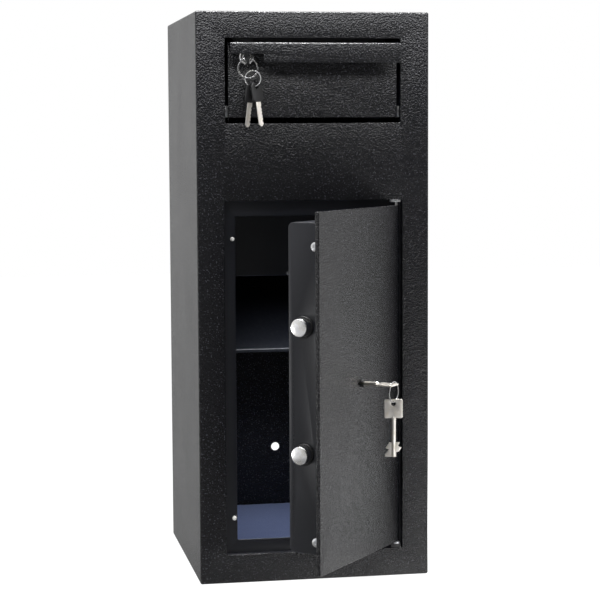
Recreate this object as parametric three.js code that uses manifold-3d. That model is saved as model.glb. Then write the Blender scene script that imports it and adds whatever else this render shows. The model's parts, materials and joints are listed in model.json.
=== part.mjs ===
// Drop safe with a deposit drawer: a tall sheet-steel cabinet with a pull-out
// deposit drawer over a key-locked vault door that stands part open.
// Millimetres, +Z up, front towards -Y. The origin is the middle of the footprint.

import * as THREE from "three";
import { mergeVertices } from "three/addons/utils/BufferGeometryUtils.js";
import Module from "manifold-3d";

const wasm = await Module();
wasm.setup();

// Clearances and cutting
const seatGap = 0.3;
const cutOverrun = 2;
const roundSides = 28;
const smallSides = 16;
const bendSteps = 4;
const caseBendSteps = 8;

// Cabinet
const cabinetWidth = 350;
const cabinetDepth = 360;
const cabinetHeight = 850;
const wallSheet = 2;
const frontSheet = 3;
const outerEdgeRadius = 2.5;
const backEdgeRadius = 1.5;
const wrapCornerRadius = 3;
const anchorHoleDiameter = 14;
const anchorHoleHeight = 143.5;
const innerFloorHeight = 43.6;
const innerFloorSheet = 2;
const innerFloorSkirt = 18;
const matThickness = 3;
const matEdgeShare = 0.33;
const matSideMargin = 4;

// Door opening and its rebate frame
const doorJambWidth = 40.5;
const doorOpeningBottom = 43;
const crossRailHeight = 114.5;
const openingCornerRadius = 2.5;
const openingEdgeRadius = 1;
const rebateDepth = 12;
const rebateSheet = 2;
const rebateLipSide = 17.6;
const rebateLipTop = 22.4;
const rebateLipBottom = 20.4;

// Drawer opening
const drawerJambWidth = 43;
const drawerOpeningHeight = 124.5;
const drawerHeaderHeight = 39;

// Door leaf and its pivots
const doorOpenAngle = THREE.MathUtils.degToRad(51.5);
const doorThickness = 6.5;
const doorFreeGap = 2.5;
const doorHingeGap = 4.5;
const doorTopGap = 8.5;
const doorBottomGap = 9;
const doorEdgeRadius = 1.2;
const doorCornerRadius = 2;
const pivotInset = 4;
const hingePinDiameter = 4;
const hingePinClearance = 0.3;
const hingePinInPlate = 10;
const hingePinEnd = 1;
const hingeBlockWidth = 15;
const hingeBlockInset = 0.5;
const hingeBlockDepth = 10;
const hingeBlockHeight = 6;
const hingePlateThickness = 3.4;
const hingeWasherDiameter = 10;

// Lock case on the back of the door
const lockCaseFreeMargin = 38;
const lockCaseHingeMargin = 24;
const lockCaseDepth = 62;
const lockCaseSheet = 2;
const lockCaseBendRadius = 8;
const lockCaseTopMargin = 17;
const lockCaseBottomMargin = 22;
const caseScrewDiameter = 13;
const caseScrewHeadHeight = 1.6;
const caseScrewSetback = 19.2;
const caseScrewEndMargin = 17;

// Locking bolts and their strike
const boltDiameter = 26;
const boltChamfer = 1.2;
const boltAxisDepth = 45;
const boltSpacing = 182;
const boltRestProjection = 15;
const boltThrow = 16;
const boltBushWall = 2.2;
const boltBushRunningGap = 0.35;
const boltBushFront = 1.2;
const boltBushLength = 4.2;
const boltBarThickness = 8;
const boltBarDepth = 24;
const boltBarOverlap = 17;
const boltTailHeight = 24;
const boltTailThickness = 3;
const boltTailOverLock = 14;
const strikeSetback = 2.1;
const strikeSheet = 2;
const strikeEndMargin = 30;
const strikeGap = 1;

// Lever lock, its keyway and the barrel that turns with the key
const lockAxisFromFree = 135.6;
const lockAxisAboveMiddle = 2;
const leverLockWidth = 70;
const leverLockHeight = 110;
const leverLockDepth = 31;
const leverLockChamberRadius = 14.5;
const leverLockBackWall = 3;
const keywayWidth = 28;
const keywayHeight = 4.6;
const barrelDiameter = 12;
const barrelClearance = 0.3;
const barrelProjection = 4;
const barrelBackWall = 1.8;

// Vault keys: two alike, one in the lock and one hanging from its ring
const keyBowWidth = 26.5;
const keyBowLength = 27.5;
const keyBowThickness = 2.2;
const keyBowCorner = 2.2;
const keyHoleDiameter = 7;
const keyHoleFromEnd = 6.5;
const keyStemDiameter = 6.4;
const keyStemLength = 56.5;
const keyBitSpan = 25;
const keyBitLength = 21;
const keyBitThickness = 2.6;
// The bits' outline: across as shares of half the span, down as shares of their length.
const keyBitShares = [
  [-0.53, 0], [-0.53, 0.04], [-0.9, 0.38], [-0.9, 0.41], [-0.53, 0.49], [-0.78, 0.69], [-1, 0.83], [-1, 1],
  [0.29, 1], [0.29, 0.7], [0.6, 0.63], [0.94, 0.36], [0.65, 0.31], [0.52, 0.22], [0.73, 0],
];
const keyShankOut = 24.5;
const keyRingRadius = 14.6;
const keyRingWire = 1.8;
const spareKeyTurn = THREE.MathUtils.degToRad(61.2);
const ringSides = 36;
const wireSides = 8;

// Deposit drawer
const drawerFrontSideGap = 5;
const drawerFrontBottomGap = 8.1;
const drawerFrontTopGap = 9.6;
const drawerFrontRecess = 4;
const drawerSheet = 2;
const drawerReturnDepth = 5;
const pullProjection = 29;
const pullHeight = 29;
const pullShortHeight = 16.5;
const pullShortWidth = 49;
const pullBendRadius = 2.6;
const pullNotchRadius = 3;
const traySide = 73;
const trayLength = 204;
const traySideInset = 4.5;
const trayFloorGap = 0.4;

// Drawer slides
const slideHeight = 17;
const slideDepth = 9.6;
const slideSheet = 1.2;
const slideLength = 200;
const slideMidLength = 190;
const slideMidHeight = 13.4;
const slideMidDepth = 5.6;
const slideMidInset = 1.8;
const slideRunnerHeight = 9.6;
const slideRunnerDepth = 6.2;
const slideFrontSetback = 12;
const slideStopLength = 4.5;
const slideStopDepth = 1.8;

// Drawer bay, stripper flap and chute
const bayCheekSheet = 2;
const bayCheekClearance = 1;
const bayCheekLength = 222;
const bayCheekRise = 3.5;
const flapRodDiameter = 6;
const flapRodSetback = 32;
const flapRodDrop = 30;
const flapSheet = 2;
const flapSideGap = 5;
const flapFloorGap = 3.5;
const flapKnuckleWall = 2.4;
const flapKnuckleGap = 0.35;
const baffleSetback = 95;
const baffleDrop = 232.5;
const baffleTopDrop = 2.5;
const baffleFlange = 26;
const baffleSlopeDrop = 46;
const baffleReturn = 7;
const chuteSheet = 2;
const chuteSideGap = 0.3;
const deflectorFront = 185;
const deflectorFrontDrop = 356.5;
const deflectorBackDrop = 194.5;
const deflectorHem = 4;
const deflectorBackFlange = 16;
const baffleScrewFromMiddle = 23;
const baffleScrewDiameter = 7;
const baffleScrewHead = 2;
const baffleScrewTopShare = 0.7;
const baffleScrewRise = 3.5;

// Cam lock of the drawer
const camLockFromEdge = 27;
const camLockBelowPull = 18.4;
const camFlangeDiameter = 22;
const camFlangeProjection = 7;
const camFlangeEdge = 1.6;
const camBodyDiameter = 19;
const camBodyClearance = 0.4;
const camBodyRear = 13.5;
const camPlugDiameter = 12;
const camPlugClearance = 0.3;
const camPlugProud = 0.4;
const camPlugTail = 1.5;
const camNutAcross = 27;
const camNutThickness = 4;
const camLeverLength = 22;
const camLeverWidth = 14;
const camLeverThickness = 2.4;
const keeperWidth = 24;
const keeperSheet = 2;
const keeperBelowTop = 51;
const keeperFlange = 14;
const keeperGap = 1.4;

// Keys of the drawer: one in the lock, two hanging from its rings
const flatKeyHeadWidth = 20;
const flatKeyHeadLength = 28;
const flatKeyHeadThickness = 3.2;
const flatKeyHeadCorner = 6;
const flatKeyHoleDiameter = 7.6;
const flatKeyHoleFromTop = 5.4;
const flatKeyBladeWidth = 8;
const flatKeyBladeLength = 36;
const flatKeyBladeThickness = 1.8;
const flatKeyTang = 10;
const flatKeyTip = 3;
const flatKeyTooth = 1.4;
const flatKeyToothCount = 5;
const toothStartShare = 0.5;
const toothDepthShares = [1, 0.45, 0.8, 0.6, 0.9];
const insertedHeadLength = 15.5;
const insertedHeadWidth = 23;
const insertedHeadGap = 0.6;
const insertedBladeLength = 14;
const insertedTang = 3;
const largeRingRadius = 14.4;
const largeRingWire = 2.2;
const smallRingRadius = 11.6;
const smallRingWire = 1.8;
const smallRingSide = 7.2;
const smallRingDrop = 14.8;
const smallRingTilt = THREE.MathUtils.degToRad(16);
const leftKeySide = -2;
const rightKeySide = 5;
const leftKeyHang = 1.3;
const rightKeyHang = 1.1;
const leftKeyTurn = THREE.MathUtils.degToRad(-59);
const rightKeyTurn = THREE.MathUtils.degToRad(-59);
const leftKeyLean = THREE.MathUtils.degToRad(7);
const rightKeyLean = THREE.MathUtils.degToRad(-8.5);
const leftKeyRoll = THREE.MathUtils.degToRad(-3);
const rightKeyRoll = THREE.MathUtils.degToRad(2);

// Rubber door buffers on the rebate
const bufferDiameter = 6.5;
const bufferHeight = 5;
const bufferTipShare = 0.7;
const bufferFromJamb = 13;
const bufferFromTop = 47.5;
const bufferFromBottom = 44.6;

// Planes that the pieces share
const front = -cabinetDepth / 2;
const back = cabinetDepth / 2;
const halfWidth = cabinetWidth / 2;
const innerHalf = halfWidth - wallSheet;
const frontInner = front + frontSheet;
const backInner = back - wallSheet;
const drawerOpeningHalf = halfWidth - drawerJambWidth;
const drawerOpeningTop = cabinetHeight - drawerHeaderHeight;
const drawerOpeningBottom = drawerOpeningTop - drawerOpeningHeight;
const doorOpeningHalf = halfWidth - doorJambWidth;
const doorOpeningTop = drawerOpeningBottom - crossRailHeight;
const lipFront = front + rebateDepth;
const lipBack = lipFront + rebateSheet;
const doorFree = -doorOpeningHalf + doorFreeGap;
const doorHinge = doorOpeningHalf - doorHingeGap;
const doorBottom = doorOpeningBottom + doorBottomGap;
const doorTop = doorOpeningTop - doorTopGap;
const doorBack = front + doorThickness;
const pivotX = doorHinge - pivotInset;
const pivotY = front + doorThickness / 2;

// Solids are made from three.js geometry and cut or joined as manifolds.

function solidOf(geometry) {
  const bare = geometry.index ? geometry.toNonIndexed() : geometry.clone();
  bare.deleteAttribute("normal");
  bare.deleteAttribute("uv");
  const merged = mergeVertices(bare, 1e-4);
  return new wasm.Manifold(new wasm.Mesh({
    numProp: 3,
    vertProperties: new Float32Array(merged.attributes.position.array),
    triVerts: new Uint32Array(merged.index.array),
  }));
}

function geometryOf(solid) {
  const mesh = solid.getMesh();
  const geometry = new THREE.BufferGeometry();
  geometry.setAttribute("position", new THREE.BufferAttribute(new Float32Array(mesh.vertProperties), 3));
  geometry.setIndex(new THREE.BufferAttribute(new Uint32Array(mesh.triVerts), 1));
  const flat = geometry.toNonIndexed();
  flat.computeVertexNormals();
  return flat;
}

function block(x, y, z) {
  const size = [x[1] - x[0], y[1] - y[0], z[1] - z[0]];
  const geometry = new THREE.BoxGeometry(...size);
  geometry.translate((x[0] + x[1]) / 2, (y[0] + y[1]) / 2, (z[0] + z[1]) / 2);
  return solidOf(geometry);
}

const turnTo = {
  x: new THREE.Matrix4().makeRotationZ(-Math.PI / 2),
  y: new THREE.Matrix4(),
  z: new THREE.Matrix4().makeRotationX(Math.PI / 2),
};

// A round bar along one axis: "at" holds its two other coordinates in x, y, z order.
function bar(axis, radius, span, at, sides = roundSides) {
  const geometry = new THREE.CylinderGeometry(radius, radius, span[1] - span[0], sides);
  geometry.applyMatrix4(turnTo[axis]);
  const middle = (span[0] + span[1]) / 2;
  const places = { x: [middle, at[0], at[1]], y: [at[0], middle, at[1]], z: [at[0], at[1], middle] };
  geometry.translate(...places[axis]);
  return solidOf(geometry);
}

// A turned piece along one axis, from [radius, place] pairs that start and end on the axis.
function turned(axis, profile, at, sides = roundSides) {
  const points = profile.map(([radius, place]) => new THREE.Vector2(radius, place));
  const geometry = new THREE.LatheGeometry(points, sides);
  geometry.applyMatrix4(turnTo[axis]);
  const places = { x: [0, at[0], at[1]], y: [at[0], 0, at[1]], z: [at[0], at[1], 0] };
  geometry.translate(...places[axis]);
  const solid = solidOf(geometry);
  return solid.volume() > 0 ? solid : solidOf(flipped(geometry));
}

function flipped(geometry) {
  const copy = geometry.toNonIndexed();
  const place = copy.attributes.position;
  for (let corner = 0; corner < place.count; corner += 3) {
    const second = new THREE.Vector3().fromBufferAttribute(place, corner + 1);
    const third = new THREE.Vector3().fromBufferAttribute(place, corner + 2);
    place.setXYZ(corner + 1, third.x, third.y, third.z);
    place.setXYZ(corner + 2, second.x, second.y, second.z);
  }
  return copy;
}

function roundedRectangle(low, high, radius) {
  const shape = new THREE.Shape();
  addRounded(shape, low, high, radius);
  return shape;
}

function addRounded(path, low, high, radius) {
  path.moveTo(low[0] + radius, low[1]);
  path.lineTo(high[0] - radius, low[1]);
  path.absarc(high[0] - radius, low[1] + radius, radius, -Math.PI / 2, 0, false);
  path.lineTo(high[0], high[1] - radius);
  path.absarc(high[0] - radius, high[1] - radius, radius, 0, Math.PI / 2, false);
  path.lineTo(low[0] + radius, high[1]);
  path.absarc(low[0] + radius, high[1] - radius, radius, Math.PI / 2, Math.PI, false);
  path.lineTo(low[0], low[1] + radius);
  path.absarc(low[0] + radius, low[1] + radius, radius, Math.PI, Math.PI * 1.5, false);
  path.closePath();
}

// Extrudes an outline drawn in (y, z) along x.
function extrudeX(shape, span, curveSegments = bendSteps) {
  const geometry = new THREE.ExtrudeGeometry(shape, {
    depth: span[1] - span[0], bevelEnabled: false, curveSegments,
  });
  const basis = new THREE.Matrix4().makeBasis(
    new THREE.Vector3(0, 1, 0), new THREE.Vector3(0, 0, 1), new THREE.Vector3(1, 0, 0));
  geometry.applyMatrix4(basis);
  geometry.translate(span[0], 0, 0);
  return solidOf(geometry);
}

// Extrudes an outline drawn in (x, z) along y.
function extrudeY(shape, span) {
  const geometry = new THREE.ExtrudeGeometry(shape, {
    depth: span[1] - span[0], bevelEnabled: false, curveSegments: bendSteps,
  });
  geometry.applyMatrix4(new THREE.Matrix4().makeRotationX(Math.PI / 2));
  geometry.translate(0, span[1], 0);
  return solidOf(geometry);
}

// A sheet in the (x, z) plane whose outer edges and holes are rounded over on one or both faces.
function softSheet(low, high, corner, span, edge, faces) {
  const shape = roundedRectangle(low, high, corner);
  for (const hole of faces.holes ?? []) {
    const path = new THREE.Path();
    addRounded(path, hole.low, hole.high, openingCornerRadius);
    shape.holes.push(path);
  }
  const thickness = span[1] - span[0];
  const extra = faces.both ? 0 : edge;
  const geometry = new THREE.ExtrudeGeometry(shape, {
    depth: thickness + extra - 2 * edge,
    bevelEnabled: true,
    bevelThickness: edge,
    bevelSize: edge,
    bevelOffset: -edge,
    bevelSegments: bendSteps,
    curveSegments: bendSteps,
  });
  geometry.applyMatrix4(new THREE.Matrix4().makeRotationX(Math.PI / 2));
  geometry.translate(0, span[1] - edge + (faces.rear ? 0 : extra), 0);
  const keep = block([low[0] - cutOverrun, high[0] + cutOverrun], span,
    [low[1] - cutOverrun, high[1] + cutOverrun]);
  return solidOf(geometry).intersect(keep);
}

// The outline of a bent sheet: "points" run along one face and the sheet lies to their left.
function bentSheet(points, thickness) {
  const line = points.map(([y, z]) => new THREE.Vector2(y, z));
  const side = line.map((point, index) => {
    const before = index > 0 ? point.clone().sub(line[index - 1]).normalize() : null;
    const after = index < line.length - 1 ? line[index + 1].clone().sub(point).normalize() : null;
    const first = before ?? after;
    const second = after ?? before;
    const normal = new THREE.Vector2(-first.y - second.y, first.x + second.x).normalize();
    const half = Math.max(normal.dot(new THREE.Vector2(-first.y, first.x)), Number.EPSILON);
    return point.clone().addScaledVector(normal, thickness / half);
  });
  return new THREE.Shape([...line, ...side.reverse()]);
}

function ring(radius, wire) {
  const geometry = new THREE.TorusGeometry(radius, wire / 2, wireSides, ringSides);
  geometry.deleteAttribute("normal");
  geometry.deleteAttribute("uv");
  return geometry;
}

// Finishes, one material for each sub-part.

const finishes = {
  coat: { color: 0x26272a, roughness: 0.55, metalness: 0.2 },
  smoothCoat: { color: 0x1d1e21, roughness: 0.5, metalness: 0.2 },
  zinc: { color: 0xb9bcc0, roughness: 0.35, metalness: 1 },
  chrome: { color: 0xd8dade, roughness: 0.18, metalness: 1 },
  nickel: { color: 0xc2bfb6, roughness: 0.3, metalness: 1 },
  steel: { color: 0x8d9095, roughness: 0.4, metalness: 1 },
  blackPlastic: { color: 0x121214, roughness: 0.5, metalness: 0 },
  felt: { color: 0x1b2740, roughness: 0.95, metalness: 0 },
  rubber: { color: 0xd9d8d2, roughness: 0.7, metalness: 0 },
};

function piece(name, solid, finish) {
  const geometry = solid.getMesh ? geometryOf(solid) : solid;
  const mesh = new THREE.Mesh(geometry, new THREE.MeshStandardMaterial(finishes[finish]));
  mesh.name = name;
  return mesh;
}

// Cabinet shell

function caseWrap() {
  const outer = roundedRectangle([-halfWidth, 0], [halfWidth, cabinetHeight], wrapCornerRadius);
  const hollow = new THREE.Path();
  addRounded(hollow, [-innerHalf, wallSheet], [innerHalf, cabinetHeight - wallSheet],
    wrapCornerRadius - wallSheet);
  outer.holes.push(hollow);
  return extrudeY(outer, [frontInner, backInner]);
}

// The wrap is cut at its four bends into two sides, a top and a bottom.
function wrapPiece(x, z) {
  return caseWrap().intersect(block(x, [front, back], z));
}

const sideLimit = halfWidth - wrapCornerRadius;

function sidePanel() {
  return wrapPiece([sideLimit, halfWidth], [0, cabinetHeight]);
}

function topPanel() {
  return wrapPiece([-sideLimit, sideLimit], [cabinetHeight / 2, cabinetHeight]);
}

function bottomPanel() {
  return wrapPiece([-sideLimit, sideLimit], [0, cabinetHeight / 2]);
}

function frontPlate() {
  const holes = [
    { low: [-doorOpeningHalf, doorOpeningBottom], high: [doorOpeningHalf, doorOpeningTop] },
    { low: [-drawerOpeningHalf, drawerOpeningBottom], high: [drawerOpeningHalf, drawerOpeningTop] },
  ];
  return softSheet([-halfWidth, 0], [halfWidth, cabinetHeight], wrapCornerRadius,
    [front, frontInner], outerEdgeRadius, { holes });
}

function backPlate() {
  const sheet = softSheet([-halfWidth, 0], [halfWidth, cabinetHeight], wrapCornerRadius,
    [backInner, back], backEdgeRadius, { rear: true });
  const hole = bar("y", anchorHoleDiameter / 2, [backInner - cutOverrun, back + cutOverrun],
    [0, anchorHoleHeight]);
  return sheet.subtract(hole);
}

function doorRebate() {
  const x = doorOpeningHalf;
  const jambOuter = block([-x - rebateSheet, x + rebateSheet], [frontInner, lipBack],
    [doorOpeningBottom - rebateSheet, doorOpeningTop + rebateSheet]);
  const jambInner = block([-x, x], [frontInner - cutOverrun, lipFront],
    [doorOpeningBottom, doorOpeningTop]);
  const window = block([-x + rebateLipSide, x - rebateLipSide],
    [lipFront - cutOverrun, lipBack + cutOverrun],
    [doorOpeningBottom + rebateLipBottom, doorOpeningTop - rebateLipTop]);
  return jambOuter.subtract(jambInner).subtract(window);
}

function innerFloor() {
  const z = innerFloorHeight;
  const low = lipBack + seatGap;
  const high = backInner - seatGap;
  const outline = bentSheet([
    [high, z - innerFloorSkirt], [high, z], [low, z], [low, z - innerFloorSkirt]], innerFloorSheet);
  return extrudeX(outline, [-innerHalf + seatGap, innerHalf - seatGap]);
}

function feltMat() {
  const half = innerHalf - matSideMargin;
  const shape = roundedRectangle([-half, innerFloorHeight], [half, innerFloorHeight + matThickness],
    matThickness * matEdgeShare);
  return extrudeY(shape, [lipBack + matSideMargin, backInner - matSideMargin]);
}

function doorBuffer(z) {
  const x = bufferFromJamb - doorOpeningHalf;
  const radius = bufferDiameter / 2;
  const base = lipFront;
  return turned("y", [[0, base], [radius, base], [radius, base - bufferHeight / 2],
    [radius * bufferTipShare, base - bufferHeight], [0, base - bufferHeight]], [x, z], smallSides);
}

// Hinge blocks on the frame, and the pins in the door's edges

const hingeHoleRadius = hingePinDiameter / 2 + hingePinClearance;

function hingeSeat(z) {
  const side = doorOpeningHalf - openingCornerRadius;
  const x = [side - hingeBlockWidth, side];
  const y = [front + hingeBlockInset, front + hingeBlockInset + hingeBlockDepth];
  const hole = bar("z", hingeHoleRadius, [z[0] - cutOverrun, z[1] + cutOverrun],
    [pivotX, pivotY], smallSides);
  return block(x, y, z).subtract(hole);
}

function hingeBlockBottom() {
  return hingeSeat([doorOpeningBottom, doorOpeningBottom + hingeBlockHeight]);
}

function hingePlateTop() {
  return hingeSeat([doorOpeningTop - hingePlateThickness, doorOpeningTop]);
}

function hingeWasher() {
  const span = [doorOpeningBottom + hingeBlockHeight, doorBottom - seatGap];
  return bar("z", hingeWasherDiameter / 2, span, [pivotX, pivotY])
    .subtract(bar("z", hingeHoleRadius, [span[0] - cutOverrun, span[1] + cutOverrun],
      [pivotX, pivotY], smallSides));
}

function hingePin(bottom) {
  const span = bottom
    ? [doorOpeningBottom + hingePinEnd, doorBottom + hingePinInPlate]
    : [doorTop - hingePinInPlate, doorOpeningTop - hingePinEnd];
  return bar("z", hingePinDiameter / 2, span, [pivotX, pivotY], smallSides);
}

function hingePinHoles() {
  const low = bar("z", hingeHoleRadius, [doorBottom - cutOverrun, doorBottom + hingePinInPlate + seatGap],
    [pivotX, pivotY], smallSides);
  const high = bar("z", hingeHoleRadius, [doorTop - hingePinInPlate - seatGap, doorTop + cutOverrun],
    [pivotX, pivotY], smallSides);
  return low.add(high);
}

// Door leaf, lock case and locking bolts, drawn with the door shut

const lockX = doorFree + lockAxisFromFree;
const lockZ = (doorBottom + doorTop) / 2 + lockAxisAboveMiddle;
const caseFree = doorFree + lockCaseFreeMargin;
const caseHinge = doorHinge - lockCaseHingeMargin;
const caseFront = doorBack + seatGap;
const caseBack = caseFront + lockCaseDepth;
const caseBottom = doorBottom + lockCaseBottomMargin;
const caseTop = doorTop - lockCaseTopMargin;
const boltY = front + boltAxisDepth;
const boltFace = caseFree - boltRestProjection;
const boltBushRear = caseFree - boltBushFront + boltBushLength;
const boltBarX = boltBushRear + boltThrow + seatGap;
const boltMiddle = (doorBottom + doorTop) / 2;
const boltHeights = [boltMiddle + boltSpacing / 2, boltMiddle - boltSpacing / 2];
const leverLockBack = caseFront + leverLockDepth;
const barrelRear = leverLockBack - leverLockBackWall - barrelClearance;

function keyway(span, width, height) {
  return block([lockX - width / 2, lockX + width / 2], span, [lockZ - height / 2, lockZ + height / 2]);
}

function doorPlate() {
  const plate = softSheet([doorFree, doorBottom], [doorHinge, doorTop], doorCornerRadius,
    [front, doorBack], doorEdgeRadius, { both: true });
  const through = [front - cutOverrun, doorBack + cutOverrun];
  return plate
    .subtract(keyway(through, keywayWidth, keywayHeight))
    .subtract(bar("y", barrelDiameter / 2 + barrelClearance, through, [lockX, lockZ]))
    .subtract(hingePinHoles());
}

// The barrel is slit for the key's bits, so it locks the key in while it is turned.
function lockBarrel() {
  const span = [front - barrelProjection, barrelRear];
  const bore = keyStemDiameter / 2 + barrelClearance;
  const slitEnd = barrelRear - barrelBackWall;
  const slit = keyway([span[0] - cutOverrun, slitEnd], keywayWidth,
    keyBitThickness + 2 * barrelClearance);
  return bar("y", barrelDiameter / 2, span, [lockX, lockZ])
    .subtract(bar("y", bore, [span[0] - cutOverrun, slitEnd], [lockX, lockZ], smallSides))
    .subtract(slit);
}

function lockCase() {
  const t = lockCaseSheet;
  const outline = (inset) => {
    const shape = new THREE.Shape();
    const radius = lockCaseBendRadius - inset;
    const low = caseBottom + inset;
    const high = caseTop - inset;
    const rear = caseBack - inset;
    const mouth = inset > 0 ? caseFront - cutOverrun : caseFront;
    shape.moveTo(mouth, low);
    shape.lineTo(rear - radius, low);
    shape.absarc(rear - radius, low + radius, radius, -Math.PI / 2, 0, false);
    shape.lineTo(rear, high - radius);
    shape.absarc(rear - radius, high - radius, radius, 0, Math.PI / 2, false);
    shape.lineTo(mouth, high);
    shape.closePath();
    return shape;
  };
  let shell = extrudeX(outline(0), [caseFree, caseHinge], caseBendSteps);
  shell = shell.subtract(extrudeX(outline(t), [caseFree + t, caseHinge - t], caseBendSteps));
  const holeRadius = boltDiameter / 2 + boltBushRunningGap + boltBushWall + seatGap;
  for (const z of boltHeights) {
    shell = shell.subtract(bar("x", holeRadius, [caseFree - cutOverrun, caseFree + t + cutOverrun],
      [boltY, z]));
  }
  return shell;
}

function caseScrew(z) {
  const radius = caseScrewDiameter / 2;
  const face = caseFree - seatGap;
  const top = face - caseScrewHeadHeight;
  return turned("x", [[0, face], [radius, face], [radius, face - caseScrewHeadHeight / 2],
    [radius - caseScrewHeadHeight, top], [0, top]], [caseFront + caseScrewSetback, z], smallSides);
}

function boltBush(z) {
  const inner = boltDiameter / 2 + boltBushRunningGap;
  const span = [caseFree - boltBushFront, caseFree - boltBushFront + boltBushLength];
  return bar("x", inner + boltBushWall, span, [boltY, z])
    .subtract(bar("x", inner, [span[0] - cutOverrun, span[1] + cutOverrun], [boltY, z]));
}

function lockingBolt(z) {
  const radius = boltDiameter / 2;
  const tail = boltBarX - seatGap;
  return turned("x", [[0, boltFace], [radius - boltChamfer, boltFace], [radius, boltFace + boltChamfer],
    [radius, tail], [0, tail]], [boltY, z]);
}

function boltBar() {
  const upright = block([boltBarX, boltBarX + boltBarThickness],
    [boltY - boltBarDepth / 2, boltY + boltBarDepth / 2],
    [boltHeights[1] - boltBarOverlap, boltHeights[0] + boltBarOverlap]);
  const tailFront = leverLockBack + 2 * seatGap;
  const tailEnd = lockX - leverLockWidth / 2 + boltTailOverLock;
  const tail = block([boltBarX, tailEnd], [tailFront, tailFront + boltTailThickness],
    [lockZ - boltTailHeight / 2, lockZ + boltTailHeight / 2]);
  return upright.add(tail);
}

function leverLock() {
  const shell = block([lockX - leverLockWidth / 2, lockX + leverLockWidth / 2],
    [caseFront, leverLockBack],
    [lockZ - leverLockHeight / 2, lockZ + leverLockHeight / 2]);
  return shell.subtract(bar("y", leverLockChamberRadius,
    [doorBack - cutOverrun, leverLockBack - leverLockBackWall], [lockX, lockZ]));
}

// The strike stands behind the rebate's free-side lip; the thrown bolts pass behind its rear face.
function boltStrike() {
  const edge = rebateLipSide - strikeSetback - doorOpeningHalf;
  const rear = boltY - boltDiameter / 2 - strikeGap;
  const reach = boltDiameter + strikeEndMargin;
  const z = [boltHeights[1] - reach, boltHeights[0] + reach];
  const leg = block([edge - strikeSheet, edge], [lipBack, rear], z);
  const web = block([-doorOpeningHalf, edge], [rear - strikeSheet, rear], z);
  return leg.add(web);
}

// Vault key, drawn with its bow upright in the (x, z) plane, ring hole at the origin, stem down

function vaultKey() {
  const top = keyHoleFromEnd;
  const bowBottom = top - keyBowLength;
  const half = keyBowThickness / 2;
  const bow = extrudeY(roundedRectangle([-keyBowWidth / 2, bowBottom], [keyBowWidth / 2, top],
    keyBowCorner), [-half, half]);
  const stemEnd = bowBottom - keyStemLength;
  const stem = bar("z", keyStemDiameter / 2, [stemEnd, bowBottom + keyBowCorner], [0, 0], smallSides);
  const bitTop = stemEnd + keyBitLength;
  const bitOutline = new THREE.Shape(keyBitShares.map(([across, down]) =>
    new THREE.Vector2(across * keyBitSpan / 2, bitTop - down * keyBitLength)));
  const bits = extrudeY(bitOutline, [-keyBitThickness / 2, keyBitThickness / 2]);
  const hole = bar("y", keyHoleDiameter / 2, [-keyBowThickness, keyBowThickness], [0, 0], smallSides);
  return bow.add(stem).add(bits).subtract(hole);
}

// Deposit drawer

const drawerFace = front + drawerFrontRecess;
const drawerPanelBack = drawerFace + drawerSheet;
const drawerBottom = drawerOpeningBottom + drawerFrontBottomGap;
const drawerTop = drawerOpeningTop - drawerFrontTopGap;
const drawerFrontHalf = drawerOpeningHalf - drawerFrontSideGap;
const trayHalf = drawerFrontHalf - traySideInset;
const trayBottom = drawerBottom + drawerSheet + trayFloorGap;
const trayFloor = trayBottom + drawerSheet;
const camX = camLockFromEdge - drawerFrontHalf;
const camZ = drawerTop - camLockBelowPull;

function drawerFront() {
  const half = drawerFrontHalf;
  const t = drawerSheet;
  const panel = softSheet([-half, drawerBottom], [half, drawerTop], openingCornerRadius,
    [drawerFace, drawerPanelBack], openingEdgeRadius, {});
  const returnBack = drawerPanelBack + drawerReturnDepth;
  const span = [drawerPanelBack, returnBack];
  const solid = panel
    .add(block([-half, -half + t], span, [drawerBottom + t, drawerTop - t]))
    .add(block([half - t, half], span, [drawerBottom + t, drawerTop - t]))
    .add(block([-half, half], span, [drawerBottom, drawerBottom + t]));
  const hole = camBodyDiameter / 2 + camBodyClearance;
  return solid.subtract(bar("y", hole, [drawerFace - cutOverrun, drawerPanelBack + cutOverrun],
    [camX, camZ]));
}

function drawerPull() {
  const t = drawerSheet;
  const half = drawerFrontHalf;
  const lipFace = drawerFace - pullProjection;
  const low = drawerTop;
  const high = low + t;
  const radius = pullBendRadius;
  const shape = new THREE.Shape();
  shape.moveTo(drawerPanelBack, low);
  shape.lineTo(drawerPanelBack, high);
  shape.lineTo(lipFace + radius, high);
  shape.absarc(lipFace + radius, high - radius, radius, Math.PI / 2, Math.PI, false);
  shape.lineTo(lipFace, high - pullHeight);
  shape.lineTo(lipFace + t, high - pullHeight);
  shape.lineTo(lipFace + t, low);
  shape.closePath();
  const lip = extrudeX(shape, [-half, half]);
  const notchX = [-half - cutOverrun, -half + pullShortWidth];
  const notchZ = [high - pullHeight - cutOverrun, high - pullShortHeight];
  const notch = extrudeY(roundedRectangle([notchX[0], notchZ[0]], [notchX[1], notchZ[1]],
    pullNotchRadius / 2), [lipFace - cutOverrun, lipFace + t + cutOverrun]);
  return lip.subtract(notch);
}

function drawerTray() {
  const half = trayHalf;
  const t = drawerSheet;
  const y = [drawerPanelBack, drawerPanelBack + trayLength];
  const floor = block([-half, half], y, [trayBottom, trayFloor]);
  const sideZ = [trayBottom, trayFloor + traySide];
  return floor
    .add(block([-half, -half + t], y, sideZ))
    .add(block([half - t, half], y, sideZ));
}

// Ball-bearing slides: fixed rail, middle member and drawer runner, drawn for the +X side

const cheekInner = drawerOpeningHalf + bayCheekClearance;
const slideOuter = cheekInner - seatGap;
const slideCentre = drawerBottom + slideHeight / 2;
const slideY = front + slideFrontSetback;

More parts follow.
